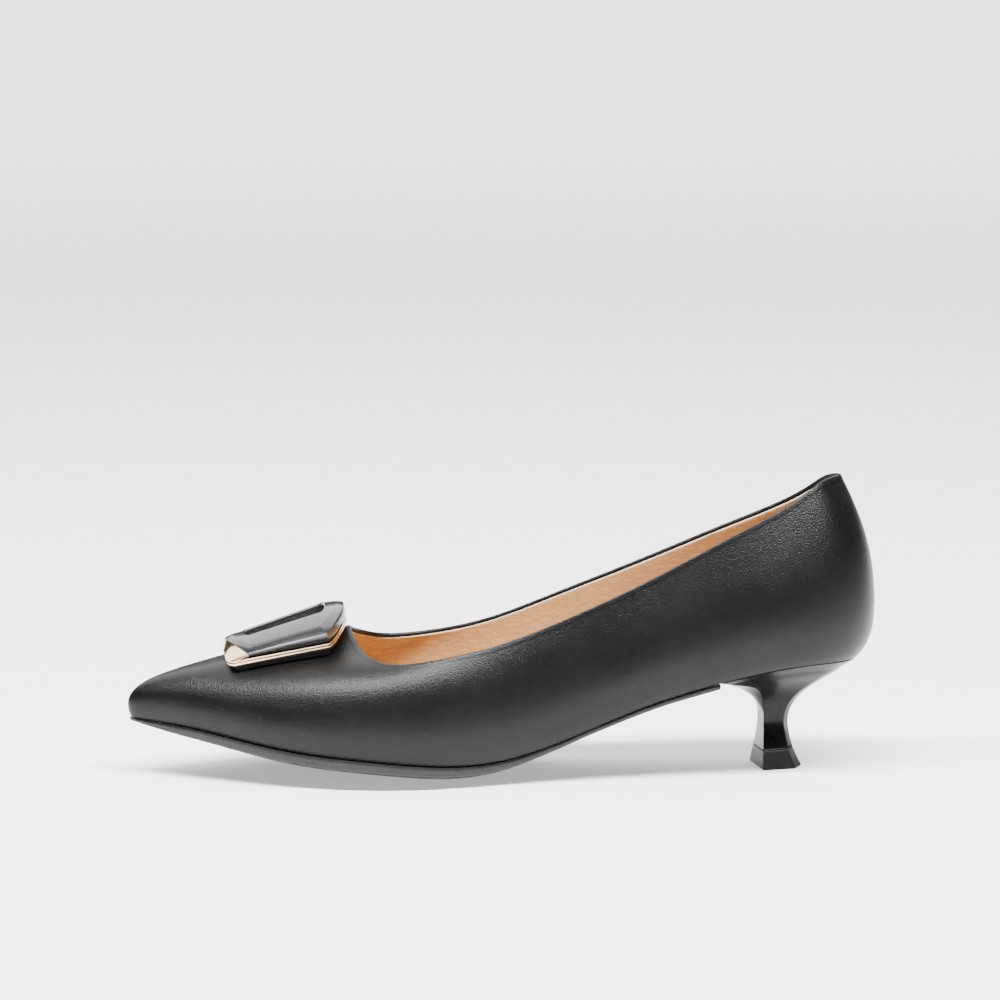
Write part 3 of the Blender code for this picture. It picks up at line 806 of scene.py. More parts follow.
    def rise(self, along: Any) -> Any:
        """Return the height that the topline's rises are shares of."""
        return mix(self.back_height, self.throat_height, smooth_step(*self.lowering, along))

    @staticmethod
    def sides(rows: Any, name: str) -> Array:
        """Return a column for the outer side to the toe, and then for the inner side back again."""
        return np.concatenate([getattr(rows, "lateral" + name), getattr(rows, "medial" + name)[-2:0:-1]])

    @staticmethod
    def trip(values: Array) -> Array:
        """Return a column that both sides share, from back to toe and on to the back."""
        return np.concatenate([values, values[-2:0:-1]])

    def rings(self) -> list[Array]:
        """Make the closed rings round the shoe that its ribs run through.

        Returns:
            Five rings: feather, side, shoulder, crown and topline.
        """
        along = self.trip(self.fullest.along)
        count = len(along)
        sign = np.where(np.arange(count) < len(self.fullest.along), -1.0, 1.0)
        width = self.width(along)
        side_x = self.overhang - along * self.length
        side = np.stack([side_x, sign * self.sides(self.fullest, "") * width], axis=1)
        feather = side - outward_plan(side) * (self.sides(self.fullest, "_tuck") * width)[:, None]
        low = self.feather(feather[:, 0])
        top_x = mix(self.overhang - self.back_lean, self.throat_x, self.trip(self.topline.reach))
        top_y = sign * self.sides(self.topline, "") * self.width(self.along(top_x))
        high = self.feather(top_x) + self.sides(self.topline, "_rise") * self.rise(self.along(top_x))
        topline = np.stack([top_x, top_y], axis=1)
        rings = [np.column_stack([feather, low])]
        for way_in, way_up in (
            (np.zeros(count), self.trip(self.ribs.side_up)),
            (self.trip(self.ribs.shoulder_in), self.trip(self.ribs.shoulder_up)),
            (self.trip(self.ribs.crown_in), self.trip(self.ribs.crown_up)),
        ):
            rings.append(np.column_stack([mix(side, topline, way_in[:, None]), mix(low, high, way_up)]))
        rings.append(np.column_stack([topline, high]))
        return rings

    @staticmethod
    def weights(share: float) -> list[float]:
        """Return how much each of a rib's five control points counts.

        Args:
            share: The place's share of the way up the rib.

        Returns:
            Five weights that add up to 1.
        """
        u = 2 * min(share, 1 - share)
        weights = [(1 - u) ** 3, u * (12 - 18 * u + 7 * u * u) / 4, u * u * (3 - 2 * u) / 2, u**3 / 4, 0.0]
        return weights if share <= 0.5 else weights[::-1]

    def rib_lines(self, steps: int, samples: int) -> Array:
        """Return the ribs as lines of points.

        Args:
            steps: Ribs to each row of the tables.
            samples: Points on each rib.

        Returns:
            Points by ribs, from the back round the outer side, and by height.
        """
        rings = self.rings()
        spans = [np.linalg.norm(np.roll(ring, -1, axis=0) - ring, axis=1) for ring in (rings[1], rings[4])]
        spans = np.mean(spans, axis=0)
        knots = np.concatenate([[0.0], np.cumsum(spans)[:-1]])
        ends = np.append(knots, spans.sum())
        places = [mix(ends[k], ends[k + 1], step / steps) for k in range(len(knots)) for step in range(steps)]
        controls = np.stack([spline(knots, ring, places, spans.sum()) for ring in rings], axis=1)
        weights = np.array([self.weights(share) for share in np.linspace(0.0, 1.0, samples)])
        return np.einsum("sc,rcx->rsx", weights, controls)


@dataclass
class Upper:
    """The upper: one calf shell that folds over at the topline, with its tan lining inside."""

    last: Last
    finishes: Finishes
    wall: float = 0.0018
    fold_depth: float = 0.0024
    fold_stand: float = 0.00006
    turn_in: float = 0.0014
    lining_thickness: float = 0.0005
    seam_depth: float = 0.00028
    seam_half_width: float = 0.0006
    join_seam: float = 0.471
    lining_seam: float = 0.211
    # The steps between the side, the band under the fold, the fold and the hidden inner face
    side_end: float = 0.0004
    band_start: float = 0.0001
    band_rise: float = 0.0006
    overlap: float = 0.0006
    tuck: float = 0.0005
    core: float = 0.0008
    # The lining's foot, and the slope of its cut edge
    lining_foot: float = 0.0012
    edge_drop: float = 0.00025
    edge_roll: float = 0.00012
    steps: int = 18
    levels: int = 54
    samples: int = 161
    band_rows: int = 8
    fold_rows: int = 12
    inside_rows: int = 5
    hidden_step: int = 3

    def __post_init__(self) -> None:
        """Read the ribs once, with their lengths and outward directions."""
        self.lines = self.last.rib_lines(self.steps, self.samples)
        hops = np.linalg.norm(np.diff(self.lines, axis=1), axis=2)
        self.lengths = np.concatenate([np.zeros((len(hops), 1)), np.cumsum(hops, axis=1)], axis=1)
        around = np.roll(self.lines, -1, axis=0) - np.roll(self.lines, 1, axis=0)
        self.upward = unit(np.gradient(self.lines, axis=1))
        self.normals = unit(np.cross(self.upward, around))

    def read(self, values: Array, places: Array) -> Array:
        """Read points or directions at places up each rib.

        Args:
            values: One value for each rib and sample.
            places: Heights along each rib, in metres, by ribs and levels.

        Returns:
            Values by ribs and levels.
        """
        out = np.empty(places.shape + (3,))
        for rib in range(len(places)):
            for axis in range(3):
                out[rib, :, axis] = np.interp(places[rib], self.lengths[rib], values[rib, :, axis])
        return out

    def surface(self, places: Array, offset: Any) -> Array:
        """Return points at these places up the ribs, moved outward by the offset."""
        out = unit(self.read(self.normals, places))
        return self.read(self.lines, places) + out * np.asarray(offset)[..., None]

    def seam(self, place: Array, station: float) -> Array:
        """Return how far the leather sinks along a seam that runs up the inner side.

        Args:
            place: Points of the surface.
            station: The seam's share of the shoe's length.

        Returns:
            The depth at each point.
        """
        x = self.last.overhang - station * self.last.length
        away = (place[..., 0] - x) / self.seam_half_width
        return np.where(place[..., 1] > 0, self.seam_depth * np.exp(-(away**2)), 0.0)

    def shell(self) -> bpy.types.Object:
        """Make the outer leather, from the sole over the topline and down inside it.

        Returns:
            The shell.
        """
        total = self.lengths[:, -1:]
        radius = (self.wall + self.fold_stand - self.lining_thickness) / 2
        inner = self.fold_stand - 2 * radius
        side = np.linspace(0.0, 1.0, self.levels)[None] * (total - self.fold_depth - self.side_end)
        sunk = self.seam(self.surface(side, np.zeros(side.shape)), self.join_seam)
        band = np.linspace(self.fold_depth - self.band_start, radius, self.band_rows)
        lift = self.fold_stand * smooth_step(self.fold_depth, self.fold_depth - self.band_rise, band)
        lift = np.broadcast_to(lift, (len(total), len(band)))
        centre = self.surface(total - radius, np.full(total.shape, self.fold_stand - radius))
        outward = unit(self.read(self.normals, total - radius))
        turn = np.linspace(0.0, math.pi, self.fold_rows + 1)[None, 1:, None]
        fold = outward * np.cos(turn) + self.upward[:, -1:] * np.sin(turn)
        inside = total - np.linspace(radius, self.turn_in + self.overlap, self.inside_rows + 1)[None, 1:]
        hidden = side[:, ::-1][:, :: self.hidden_step]
        rows = [
            self.surface(side, -sunk),
            self.surface(total - band[None], lift),
            centre + radius * fold,
            self.surface(inside, np.full(inside.shape, inner)),
            self.surface(inside[:, -1:], np.full(total.shape, inner + self.tuck)),
            self.surface(hidden, np.full(hidden.shape, -self.core)),
        ]
        draft = Draft()
        draft.grid(np.concatenate(rows, axis=1).transpose(1, 0, 2), closed=True, wrapped=True)
        return ride(draft.piece("upper_shell", [self.finishes.calf], 60.0), Slot.UPPER, "upper")

    def lining(self) -> bpy.types.Object:
        """Make the tan lining, with the pale cut edge that shows under the fold.

        Returns:
            The lining.
        """
        total = self.lengths[:, -1:]
        face = -self.wall
        back = face + self.lining_thickness
        edge = total - self.turn_in
        low = mix(self.lining_foot, edge - self.edge_drop, np.linspace(0.0, 1.0, self.levels)[None])
        sunk = self.seam(self.surface(low, np.full(low.shape, face)), self.lining_seam)
        inner = self.surface(low, face + sunk)
        rolled = self.surface(edge, np.full(edge.shape, face + self.edge_roll))
        top = self.surface(edge, np.full(edge.shape, back))
        behind = low[:, :: -self.hidden_step]
        hidden = self.surface(behind, np.full(behind.shape, back))
        draft = Draft()
        draft.grid(inner.transpose(1, 0, 2), closed=True)
        draft.grid(np.concatenate([inner[:, -1:], rolled, top], axis=1).transpose(1, 0, 2), 1, closed=True)
        draft.grid(np.concatenate([top, hidden, inner[:, :1]], axis=1).transpose(1, 0, 2), closed=True)
        return ride(draft.piece("upper_lining", [self.finishes.lining, self.finishes.edge], 50.0), Slot.SOCK)

    def build(self) -> None:
        """Make the shell and its lining."""
        self.shell()
        self.lining()


@dataclass
class Bottom:
    """The sock inside, and the thin sole under the shoe."""

    last: Last
    upper: Upper
    finishes: Finishes
    gap: float = 0.0003
    sock_thickness: float = 0.0026
    board_share: float = 0.3
    rim_drop: float = 0.0005
    edge: float = 0.0034
    corner: float = 0.0012
    lip: float = 0.0009
    crown: float = 0.0050
    crown_power: float = 1.4
    rim_power: int = 14
    # Places across the sole's middle, where its corners start, and the fullness of its edge from top to foot
    middle: tuple[float, ...] = (0.0, 0.3, 0.55, 0.75, 0.86)
    corner_start: float = 0.90
    corner_rows: int = 7
    edge_rows: tuple[tuple[float, float], ...] = ((0.0, 0.0), (0.3, 0.00018), (0.7, 0.00018), (1.0, 0.0))
    rows: int = 150
    sock_places: int = 41

    def outline(self) -> Array:
        """Return the sole's outline in plan."""
        plan = self.upper.lines[:, 0, :2]
        return plan + outward_plan(plan) * (self.last.sole_column("lip", plan[:, 0]) * self.lip)[:, None]

    def edges(self, plan: Array, start_lateral: float, start_medial: float) -> tuple[Array, Array]:
        """Return points down both sides of an outline.

        Args:
            plan: The outline.
            start_lateral: The place where the outer side starts.
            start_medial: The place where the inner side starts.

        Returns:
            Points to the toe, in rows, on the outer and on the inner side.
        """
        count = len(plan)
        shares = np.linspace(0.0, 1.0, self.rows)
        lateral = spline(np.arange(count), plan, mix(start_lateral, count / 2, shares), count)
        medial = spline(np.arange(count), plan, mix(start_medial, count / 2, shares), count)
        return lateral, medial

    def sheet(self, sides: tuple[Array, Array], across: Array) -> tuple[Array, Array]:
        """Fill the space between two sides.

        Args:
            sides: Points on the outer and on the inner side.
            across: Shares across, from -1 to 1.

        Returns:
            Points of the plan by rows and places across, and how far out each one is.
        """
        lateral, medial = sides
        flat = mix(lateral[:, None, :], medial[:, None, :], ((across + 1) / 2)[None, :, None])
        width = np.linalg.norm(lateral - medial, axis=1)
        return flat, np.where(width[:, None] < self.gap, 1.0, np.abs(across)[None, :])

    def sock(self) -> bpy.types.Object:
        """Make the tan sock on its black board, dished and softly rounded at its rim.

        Returns:
            The sock.
        """
        shape = (len(self.upper.lines), 1)
        across = np.sin(np.linspace(-math.pi / 2, math.pi / 2, self.sock_places))
        draft = Draft()
        for slot, lift in enumerate((self.sock_thickness, self.board_share * self.sock_thickness)):
            ring = self.upper.surface(np.full(shape, lift), np.full(shape, -self.upper.wall))[:, 0, :2]
            flat, share = self.sheet(self.edges(ring, 0.0, float(len(ring))), across)
            bed = self.last.bed_height(flat[..., 0].ravel(), share.ravel()).reshape(share.shape)
            draft.grid(np.dstack([flat, bed + lift - self.rim_drop * share**self.rim_power]), slot)
        return ride(draft.piece("sock", [self.finishes.sock, self.finishes.sole]), Slot.SOCK, "insole")

    def sole(self, crossing: Callable[[Array, float], tuple[float, float]]) -> bpy.types.Object:
        """Make the sole with its rounded, slightly full edge.

        Args:
            crossing: Gives the places where an outline crosses the heel's front line.

        Returns:
            The sole.
        """
        plan = self.outline()
        sides = self.edges(plan, *crossing(plan, -self.gap))
        corner_places = mix(self.corner_start, 1.0, np.sin(np.linspace(0.0, math.pi / 2, self.corner_rows)))
        half = np.concatenate([self.middle, corner_places])
        across = np.concatenate([-half[:0:-1], half])
        flat, share = self.sheet(sides, across)
        shape = flat.shape[:2]
        x, wide = flat[..., 0].ravel(), share.ravel()
        top = self.last.bed_height(x, wide) - self.gap
        edge = self.last.sole_column("edge", x) * self.edge
        turn = np.clip((wide - self.corner_start) / (1 - self.corner_start), 0.0, 1.0)
        corner = self.last.sole_column("corner", x) * self.corner * np.sqrt(np.maximum(1 - turn**2, 0.0))
        crown = self.last.sole_column("crown", x) * self.crown * (1 - wide**self.crown_power)
        under = np.maximum(self.last.feather(x) - self.gap - edge - corner - crown, 0.0)
        upper_face = np.dstack([flat, top.reshape(shape)])
        lower_face = np.dstack([flat, under.reshape(shape)])
        draft = Draft()
        draft.grid(upper_face)
        draft.grid(lower_face)
        for place, side in ((0, 0), (-1, 1)):
            rim_top, rim_low = upper_face[:, place], lower_face[:, place]
            out = unit(sides[side] - sides[1 - side])
            out = np.column_stack([out, np.zeros(len(out))])
            draft.grid(np.array([mix(rim_top, rim_low, down) + out * full for down, full in self.edge_rows]))
        draft.grid(np.array([upper_face[0], lower_face[0]]))
        return ride(draft.piece("sole", [self.finishes.sole], 50.0), Slot.SOLE, "outsole")


@dataclass
class Heel:
    """The flared heel, faceted at its foot and round at the seat, with its wearing piece."""

    last: Last
    finishes: Finishes
    front: float = 0.0240
    swing: float = math.radians(6.5)
    foot_length: float = 0.0157
    foot_width: float = 0.0200
    piece_height: float = 0.0064
    gap: float = 0.0003
    corner: float = 0.045
    corner_points: int = 5
    side_points: int = 8
    levels: int = 70
    bow_fade: int = 4
    level_power: int = 4
    # The block's foot is drawn in at its seam, and its top runs out to the seat
    seam_inset: float = 0.985
    seam_chamfer: float = 0.0002
    seat_shares: tuple[float, ...] = (0.35, 0.7, 1.0)
    # The unit section from its flat front: places back and across
    corners: tuple[tuple[float, float], ...] = (
        (0.0, -1.0),
        (0.76, -0.83),
        (1.0, -0.22),
        (1.0, 0.22),
        (0.76, 0.83),
        (0.0, 1.0),
    )
    # The wearing piece: shares of its height and of its outline
    piece_profile: tuple[tuple[float, float], ...] = (
        (0.0, 0.95),
        (0.0, 0.975),
        (0.04, 1.0),
        (0.3, 1.0),
        (0.6, 1.0),
        (0.9, 1.0),
        (0.96, 1.0),
        (1.0, 0.99),
        (1.0, 0.95),
    )
    # The block: reach to the front and back as shares of the foot's length, half width of its width,
    # how far it is faceted and how hollow its front is
    shape: Any = field(
        default=table(
            "up front back half facet bow",
            (0.000, 0.400, 0.570, 0.500, 1.0, 0.00),
            (0.155, 0.365, 0.395, 0.395, 1.0, 0.00),
            (0.290, 0.330, 0.310, 0.295, 1.0, 0.00),
            (0.400, 0.315, 0.275, 0.242, 1.0, 0.00),
            (0.480, 0.315, 0.300, 0.240, 1.0, 0.00),
            (0.580, 0.335, 0.410, 0.290, 0.9, 0.05),
            (0.670, 0.385, 0.610, 0.400, 0.7, 0.15),
            (0.750, 0.465, 0.860, 0.560, 0.5, 0.30),
            (0.820, 0.620, 1.100, 0.745, 0.3, 0.42),
            (0.875, 0.900, 1.280, 0.910, 0.1, 0.38),
            (0.925, 1.250, 1.420, 1.040, 0.0, 0.20),
        )
    )

    def crossing(self, outline: Array, offset: float) -> tuple[float, float]:
        """Find where an outline crosses the heel's front line.

        Args:
            outline: The outline.
            offset: How far behind the line to look.

        Returns:
            The places on the outline's outer and inner side.
        """
        cos, sin = math.cos(self.swing), math.sin(self.swing)
        behind = outline[:, 0] * cos + outline[:, 1] * sin + self.front - offset
        half = len(outline) // 2
        lateral = np.interp(0.0, -behind[: half + 1], np.arange(half + 1))
        medial = np.interp(0.0, behind[half:], np.arange(half, len(outline)))
        return float(lateral), float(medial)

    def facets(self) -> Array:
        """Make a unit section with a flat front and sides and a back of three facets.

        Returns:
            Its points, with the corners rounded.
        """
        corners = np.array(self.corners)
        points = []
        for k, corner in enumerate(corners):
            before = corner + unit(corners[k - 1] - corner) * self.corner
            ahead = corners[(k + 1) % len(corners)]
            after = corner + unit(ahead - corner) * self.corner
            for turn in np.linspace(0.0, 1.0, self.corner_points):
                points.append(mix(mix(before, corner, turn), mix(corner, after, turn), turn))
            for share in np.linspace(0.0, 1.0, self.side_points + 2)[1:-1]:
                points.append(mix(after, ahead + unit(corner - ahead) * self.corner, share))
        return np.array(points)

    def seat(self, outline: Array, unit_section: Array) -> tuple[Array, Array]:
        """Fit the heel's top to the sole's outline.

        Args:
            outline: The sole's outline.
            unit_section: The unit section.

        Returns:
            The top's outline, and the share across of each of its points.
        """
        lateral, medial = self.crossing(outline, self.gap)
        total = len(outline)
        across = unit_section[:, 1]
        count = np.arange(len(across))
        flat = (unit_section[:, 0] < 1e-6) | (count >= len(across) - self.side_points)
        flat &= count > len(across) // 2
        round_part = np.flatnonzero(~flat)
        hops = np.linalg.norm(np.diff(unit_section[round_part], axis=0), axis=1)
        shares = np.concatenate([[0.0], np.cumsum(hops)]) / hops.sum()
        places = mix(lateral, medial - total, shares)
        curve = spline(np.arange(total), outline, places % total, total)
        seat = np.empty((len(across), 2))
        wide = np.ones(len(across))
        seat[round_part] = curve
        front = np.flatnonzero(flat)
        way = (np.arange(len(front)) + 1) / (len(front) + 1)
        seat[front] = mix(curve[-1][None], curve[0][None], way[:, None])
        wide[front] = 1 - 2 * way
        return seat, wide

    def ring(self, up: float, seat: Array, seat_z: Array, section: Array) -> Array:
        """Return one level of the heel.

        Args:
            up: The level's share of the heel's height.
            seat: The top's outline.
            seat_z: The height of each of the top's points.
            section: The unit section.

        Returns:
            A ring of points.
        """
        names = self.shape._fields[1:]
        front, back, half, facet, bow = (float(column(self.shape, name, up)[0]) for name in names)
        cos, sin = math.cos(self.swing), math.sin(self.swing)
        own = np.stack([seat[:, 0] * cos + seat[:, 1] * sin, seat[:, 1] * cos - seat[:, 0] * sin], axis=1)
        low, high = own.min(axis=0), own.max(axis=0)
        unit_seat = (own - low) / (high - low) * (1, 2) - (0, 1)
        section = mix(unit_seat, section, min(max(facet, 0.0), 1.0))
        bowed = bow * (1 - section[:, 1] ** 2) * np.clip(1 - self.bow_fade * section[:, 0], 0.0, 1.0)
        back_way = (section[:, 0] * (front + back) - front - bowed) * self.foot_length
        across = section[:, 1] * half * self.foot_width
        level = self.last.seat_height + (seat_z - self.last.seat_height) * up**self.level_power
        return np.column_stack([back_way * cos - across * sin, back_way * sin + across * cos, up * level])

    def build(self, outline: Array) -> None:
        """Make the heel block and the wearing piece.

        Args:
            outline: The sole's outline in plan.
        """
        section = self.facets()
        seat, across = self.seat(outline, section)
        seat_z = self.last.bed_height(seat[:, 0], across) - self.gap
        piece_top = self.piece_height / self.last.seat_height
        levels = np.linspace(piece_top, self.shape.up[-1], self.levels)
        rings = [self.ring(up, seat, seat_z, section) for up in levels]
        foot = np.array(rings[0])
        foot[:, :2] = mix(foot[:, :2].mean(axis=0), foot[:, :2], self.seam_inset)
        rings[0][:, 2] += self.seam_chamfer
        rings.insert(0, foot)
        top = np.column_stack([seat, seat_z])
        rings += [mix(rings[-1], top, share) for share in self.seat_shares]
        draft = Draft()
        draft.grid(np.array(rings), closed=True)
        draft.disc(rings[0])
        draft.disc(rings[-1])
        ride(draft.piece("heel_block", [self.finishes.heel], 28.0), Slot.HEEL, "heel")
        top_share = piece_top - self.gap / self.last.seat_height
        piece = []
        for share, close in self.piece_profile:
            ring = self.ring(share * top_share, seat, seat_z, section)
            ring[:, :2] = mix(ring[:, :2].mean(axis=0), ring[:, :2], close)
            ring[:, 2] = share * (self.piece_height - self.gap)
            piece.append(ring)
        draft = Draft()
        draft.grid(np.array(piece), closed=True)
        draft.disc(piece[0])
        draft.disc(piece[-1])
        ride(draft.piece("wearing_piece", [self.finishes.rubber], 28.0), Slot.TOP_PIECE, "heel_top_piece")


@dataclass
class Ornament:
    """The buckle ornament: a black enamelled frame on a gold tray, bedded on the vamp."""

    last: Last
    finishes: Finishes
    centre: float = 0.0530
    slope: float = math.radians(15.2)
    taper: float = 0.70
    arch: float = 0.0450
    length: float = 0.0412
    width: float = 0.0424
    height: float = 0.0041
    rise: float = 0.0026
    opening_length: float = 0.0280
    opening_width: float = 0.0160
    opening_bevel: float = 0.0005
    inner_drop: float = 0.0008
    outer_drop: float = 0.0018
    tip_lift: float = 0.0020
    facet_share: float = 0.66
    # How far the ends of frame, tray and opening draw back at their corners, as shares of half the length
    toe_sweep: float = 0.30
    toe_power: float = 1.35
    throat_sweep: float = 0.40
    throat_power: float = 1.9
    tray_reach: float = 0.03
    tray_corner: float = 0.86
    tray_toe_round: float = 0.10
    tray_throat_round: float = 0.04
    tray_tuck: float = 0.06
    opening_round: float = 0.12
    tray_rim: float = 0.0009
    tray_height: float = 0.0017
    tray_skirt: float = 0.0003
    # The tray's two beads with the groove between them: shares of the groove's depth and of the height
    groove_share: float = 0.5
    tray_profile: tuple[tuple[float, float], ...] = (
        (0.10, 0.0),
        (0.0, 0.06),
        (0.0, 0.40),
        (0.12, 0.47),
        (1.0, 0.50),
        (1.0, 0.56),
        (0.12, 0.60),
        (0.0, 0.66),
        (0.0, 0.92),
        (0.12, 1.0),
    )
    # The gold flank: how far it stands out from the frame's edge and stays below it
    flank_stand: tuple[float, float] = (0.0006, 0.0004)
    flank_close: tuple[float, float] = (0.0002, 0.0)
    flank_drop: float = 0.0002
    flank_edges: tuple[float, float] = (0.02, 0.97)
    flank_fold: float = 0.4
    gap: float = 0.0003
    columns: int = 61
    softness: float = 0.00022
    rounding: float = 0.29

    def __post_init__(self) -> None:
        """Find the ornament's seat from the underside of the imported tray."""
        self.origin = np.array([self.last.toe_x + self.centre, 0.0, 0.0])
        foot = self.ring(self.tray_ends, self.tray_size(0.0), 0.0, skirt=self.tray_skirt)
        lowest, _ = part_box("buckle_tray")
        self.origin[2] = float(lowest[2] - foot[:, 2].min())

    def tray_size(self, inset: float) -> tuple[float, float]:
        """Return the tray's length and width, less an inset all round."""
        return self.length + 2 * (self.tray_rim - inset), self.width + 2 * (self.tray_rim - inset)

    def at(self, along: float, across: float, up: float) -> Array:
        """Return a point of the ornament.

        Args:
            along: Its place along the ornament's seat.
            across: Its place across, measured round the seat's arch.
            up: Its height over the seat.

        Returns:
            The point in the shoe's frame.
        """
        turn = across / self.arch
        side = (self.arch + up) * math.sin(turn)
        rise = (self.arch + up) * math.cos(turn) - self.arch
        cos, sin = math.cos(self.slope), math.sin(self.slope)
        return self.origin + np.array([along * cos - rise * sin, side, along * sin + rise * cos])

    def frame_ends(self, across: float) -> tuple[float, float]:
        """Return where the frame's toe side and throat side lie at this share across."""
        toe = self.toe_sweep * abs(across) ** self.toe_power - 1.0
        return toe, 1.0 - self.throat_sweep * abs(across) ** self.throat_power

    def tray_ends(self, across: float) -> tuple[float, float]:
        """Return the tray's ends: square at the toe side, and under the frame's at the throat side.

        Args:
            across: The share across.

        Returns:
            The ends at the toe side and at the throat side.
        """
        corner = max(abs(across) - self.tray_corner, 0.0) / (1 - self.tray_corner)
        throat = self.frame_ends(across)[1] - self.tray_tuck * (1 - across**2)
        toe = self.tray_toe_round * corner**2 - 1.0 - self.tray_reach
        return toe, throat - self.tray_throat_round * corner**2

    def opening_ends(self, across: float) -> tuple[float, float]:
        """Return the opening's ends, rounded a little at its corners."""
        end = 1.0 - self.opening_round * abs(across) ** 3
        return -end, end

    def ring(
        self,
        ends: Callable[[float], tuple[float, float]],
        size: tuple[float, float],
        up: float,
        rise: float = 0.0,
        tip: float = 0.0,
        skirt: float = 0.0,
    ) -> Array:
        """Return a closed ring of the ornament.

        Args:
            ends: Gives the ring's ends at each share across.
            size: Its length and width.
            up: Its height over the seat.
            rise: How much it rises from the toe side to the throat side.
            tip: How much the middle of its toe side is lifted.
            skirt: How much lower it hangs at its sides.

        Returns:
            Points across the toe side and back on the throat side.
        """
        shares = np.sin(np.linspace(-math.pi / 2, math.pi / 2, self.columns))
        places = [(ends(share)[0] * size[0] / 2, share, tip * (1 - abs(share))) for share in shares]
        places += [(ends(share)[1] * size[0] / 2, share, 0.0) for share in shares[::-1]]
        points = []
        for along, share, lift in places:
            half = size[1] / 2 * mix(self.taper, 1.0, (along / (self.length / 2) + 1) / 2)
            height = up + lift + rise * along / self.length - skirt * share**2
            points.append(self.at(along, share * half, height))
        return np.array(points)

    def softened(self, rings: list[Array]) -> Array:
        """Return rings with a narrow rounded strip in place of each ridge between two facets.

        Args:
            rings: The rings of a closed tube, in order.

        Returns:
            The rings with their strips.
        """
        out = []
        for k, ring in enumerate(rings):
            before = unit(rings[k - 1] - ring) * self.softness
            after = unit(rings[(k + 1) % len(rings)] - ring) * self.softness
            out += [ring + before, ring + self.rounding * (before + after), ring + after]
        return np.array(out)

    def enamel_frame(self) -> bpy.types.Object:
        """Make the enamelled frame with its facets and long opening.

        Returns:
            The frame.
        """
        low = self.tray_height + self.gap
        high = low + self.height
        hole = (self.opening_length, self.opening_width)
        wide = (self.length, self.width)
        lip = tuple(value + 2 * self.opening_bevel for value in hole)
        facet = tuple(mix(a, b, self.facet_share) for a, b in zip(hole, wide))
        levels = [
            (self.opening_ends, hole, low, 0.0),
            (self.opening_ends, hole, high - self.opening_bevel, self.rise),
            (self.opening_ends, lip, high, self.rise),
            (self.frame_ends, facet, high - self.inner_drop, self.rise, self.facet_share * self.tip_lift),
            (self.frame_ends, wide, high - self.outer_drop, self.rise, self.tip_lift),
            (self.frame_ends, wide, low, 0.0),
            (self.frame_ends, facet, low, 0.0),
        ]
        draft = Draft()
        draft.grid(self.softened([self.ring(*level) for level in levels]), closed=True, wrapped=True)
        return ride(draft.piece("enamel_frame", [self.finishes.enamel], 25.0), Slot.ENAMEL, "buckle_frame")

    def gold_tray(self) -> bpy.types.Object:
        """Make the tray with two beads round its rim.

        Returns:
            The tray.
        """
        groove = self.groove_share * self.tray_rim
        rings = []
        for inset, up in self.tray_profile:
            size, skirt = self.tray_size(inset * groove), (1 - up) * self.tray_skirt
            rings.append(self.ring(self.tray_ends, size, up * self.tray_height, skirt=skirt))
        draft = Draft()
        draft.grid(np.array(rings), closed=True)
        for ring in (rings[0], rings[-1]):
            draft.grid(np.array([ring[: self.columns], ring[self.columns :][::-1]]))
        return ride(draft.piece("gold_tray", [self.finishes.gold], 35.0), Slot.GOLD, "buckle_tray")

    def gold_flank(self) -> bpy.types.Object:
        """Make the gold flank between the tray's square toe side and the frame's edge.

        Returns:
            The flank.
        """
        low = self.tray_height
        high = low + self.gap + self.height - self.outer_drop
        wide = (self.length, self.width)
        outer = tuple(size + stand for size, stand in zip(wide, self.flank_stand))
        close = tuple(size + stand for size, stand in zip(wide, self.flank_close))
        foot = self.ring(self.tray_ends, self.tray_size(0.0), low)
        top = self.ring(self.frame_ends, outer, high - self.flank_drop, self.rise, self.tip_lift)
        inner = self.ring(self.frame_ends, close, high - 2 * self.flank_drop, self.rise, self.tip_lift)
        rows = [foot, *(mix(foot, top, share) for share in self.flank_edges), top]
        rows += [mix(top, inner, self.flank_fold), inner, self.ring(self.frame_ends, close, low)]
        rows = np.array(rows)[:, : self.columns]
        draft = Draft()
        draft.grid(rows, wrapped=True)
        draft.disc(rows[:, 0])
        draft.disc(rows[:, -1])
        return ride(draft.piece("gold_flank", [self.finishes.gold], 35.0), Slot.GOLD)

    def build(self) -> None:
        """Make the frame, its tray and its flank, and give the pad beneath them its near-black finish, which
        paints the shade under the tray.
        """
        self.enamel_frame()
        self.gold_tray()
        self.gold_flank()
        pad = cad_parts["buckle_base"]
        # The pad's finish is painted shade: near black, for the shade that falls under the tray.
        for slot in pad.material_slots:
            slot.material = self.finishes.pad


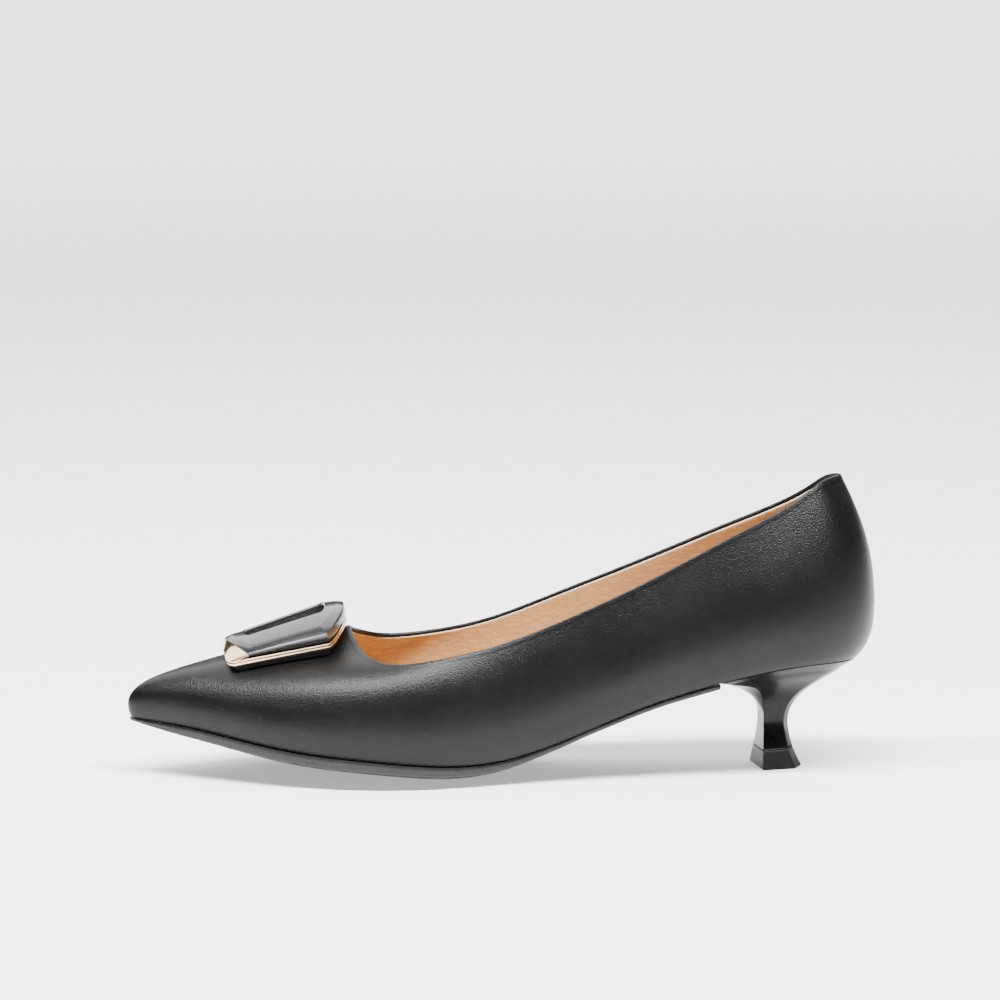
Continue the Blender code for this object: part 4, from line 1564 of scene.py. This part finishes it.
@dataclass
class Studio:
    """The pale floor, the soft lights and the camera at the photograph's angle."""

    azimuth: float = math.radians(-4.5)
    elevation: float = math.radians(9.0)
    distance: float = 1.8
    aim: tuple[float, float, float] = (-0.0915, 0.0, 0.045)
    metres_per_pixel: float = 0.000335
    image_size: float = 1000.0
    aim_pixel: tuple[float, float] = (503.83, 636.29)
    sensor: float = 36.0
    clip: tuple[float, float] = (0.01, 50.0)
    # The surroundings and the floor's glow: from and to a place away from the camera, and the glow at each
    surround: tuple[float, ...] = (-0.25, 0.6, 0.06, 2.0)
    floor_glow: tuple[float, ...] = (0.0, 3.5, 0.5, 3.0)
    floor_half: float = 14.0
    floor_cloud: float = 0.4
    pale: Colour = (0.90, 0.90, 0.90)
    paler: Colour = (0.92, 0.92, 0.92)
    # The softboxes: name, place, width and height, and power
    lamps: tuple[tuple[Any, ...], ...] = (
        ("strip", (-0.15, -0.42, 1.05), (1.6, 0.16), 78.0),
        ("overhead", (-0.05, 0.85, 1.1), (2.4, 1.3), 36.0),
    )
    middle: tuple[float, float, float] = (-0.09, 0.0, 0.04)

    def axes(self) -> tuple[Vector, Vector, Vector]:
        """Work out the camera's directions.

        Returns:
            Its back, right and up.
        """
        cos, sin = math.cos(self.azimuth), math.sin(self.azimuth)
        flat = math.cos(self.elevation)
        back = Vector((sin * flat, -cos * flat, math.sin(self.elevation)))
        right = Vector((cos, sin, 0.0))
        return back, right, back.cross(right)

    def camera(self) -> None:
        """Place the camera so that the shoe lies where the photograph has it."""
        back, right, up = self.axes()
        eye = Vector(self.aim) + back * self.distance
        off_x = (self.image_size / 2 - self.aim_pixel[0]) * self.metres_per_pixel
        off_y = (self.aim_pixel[1] - self.image_size / 2) * self.metres_per_pixel
        target = Vector(self.aim) + right * off_x + up * off_y
        data = bpy.data.cameras.new("camera")
        data.sensor_width = self.sensor
        data.lens = self.sensor * self.distance / (self.metres_per_pixel * self.image_size)
        data.clip_start, data.clip_end = self.clip
        camera = bpy.data.objects.new("camera", data)
        camera.location = eye
        camera.rotation_euler = (target - eye).to_track_quat("-Z", "Y").to_euler()
        bpy.context.scene.collection.objects.link(camera)
        bpy.context.scene.camera = camera

    def floor(self) -> None:
        """Make the pale floor, which glows as painted light, more brightly away from the camera."""
        shader = Shader("pale_floor", Roughness=0.9, Specular_IOR_Level=0.0, Emission_Strength=1.0)
        finish = shader.dress(
            Base_Color=shader.blend(shader.noise(self.floor_cloud, 2.0), self.pale, self.paler),
            Emission_Color=shader.axis("Y").soft(*self.floor_glow),
        )
        floor = Draft()
        half = self.floor_half
        corners = [(-half, -half, 0), (half, -half, 0), (half, half, 0), (-half, half, 0)]
        floor.add(np.array(corners), [(0, 1, 2, 3)])
        floor.piece("floor", [finish])

    def light(self, name: str, place: Sequence[float], size: tuple[float, float], watts: float) -> None:
        """Hang a softbox that the camera doesn't see, turned to the shoe.

        Args:
            name: Its name.
            place: Where it hangs.
            size: Its width and height.
            watts: Its power.
        """
        data = bpy.data.lights.new(name, "AREA")
        data.shape = "RECTANGLE"
        data.size, data.size_y = size
        data.energy = watts
        lamp = bpy.data.objects.new(name, data)
        lamp.location = place
        lamp.rotation_euler = (Vector(self.middle) - Vector(place)).to_track_quat("-Z", "Y").to_euler()
        lamp.visible_camera = False
        bpy.context.scene.collection.objects.link(lamp)

    def world(self) -> None:
        """Make the surroundings: bright behind the shoe and dark on the camera's side."""
        world = bpy.data.worlds.new("studio")
        bpy.context.scene.world = world
        sky = Nodes(world)
        way = sky.node("ShaderNodeTexCoord", output="Generated")
        away = sky.node("ShaderNodeSeparateXYZ", values={0: way}, output="Y")
        sky.feed(sky.tree.nodes["Background"], "Strength", away.soft(*self.surround))

    def build(self) -> None:
        """Make the camera, the floor, the surroundings and the lights."""
        self.camera()
        self.floor()
        self.world()
        for lamp in self.lamps:
            self.light(*lamp)


def main() -> None:
    """Build the shoe and its studio, piece by piece."""
    logging.basicConfig(level=logging.INFO, format="%(message)s")
    Studio().build()
    last = Last()
    finishes = Finishes()
    upper = Upper(last, finishes)
    upper.build()
    bottom = Bottom(last, upper, finishes)
    heel = Heel(last, finishes)
    bottom.sock()
    bottom.sole(heel.crossing)
    heel.build(bottom.outline())
    Ornament(last, finishes).build()


if __name__ == "__main__":
    main()
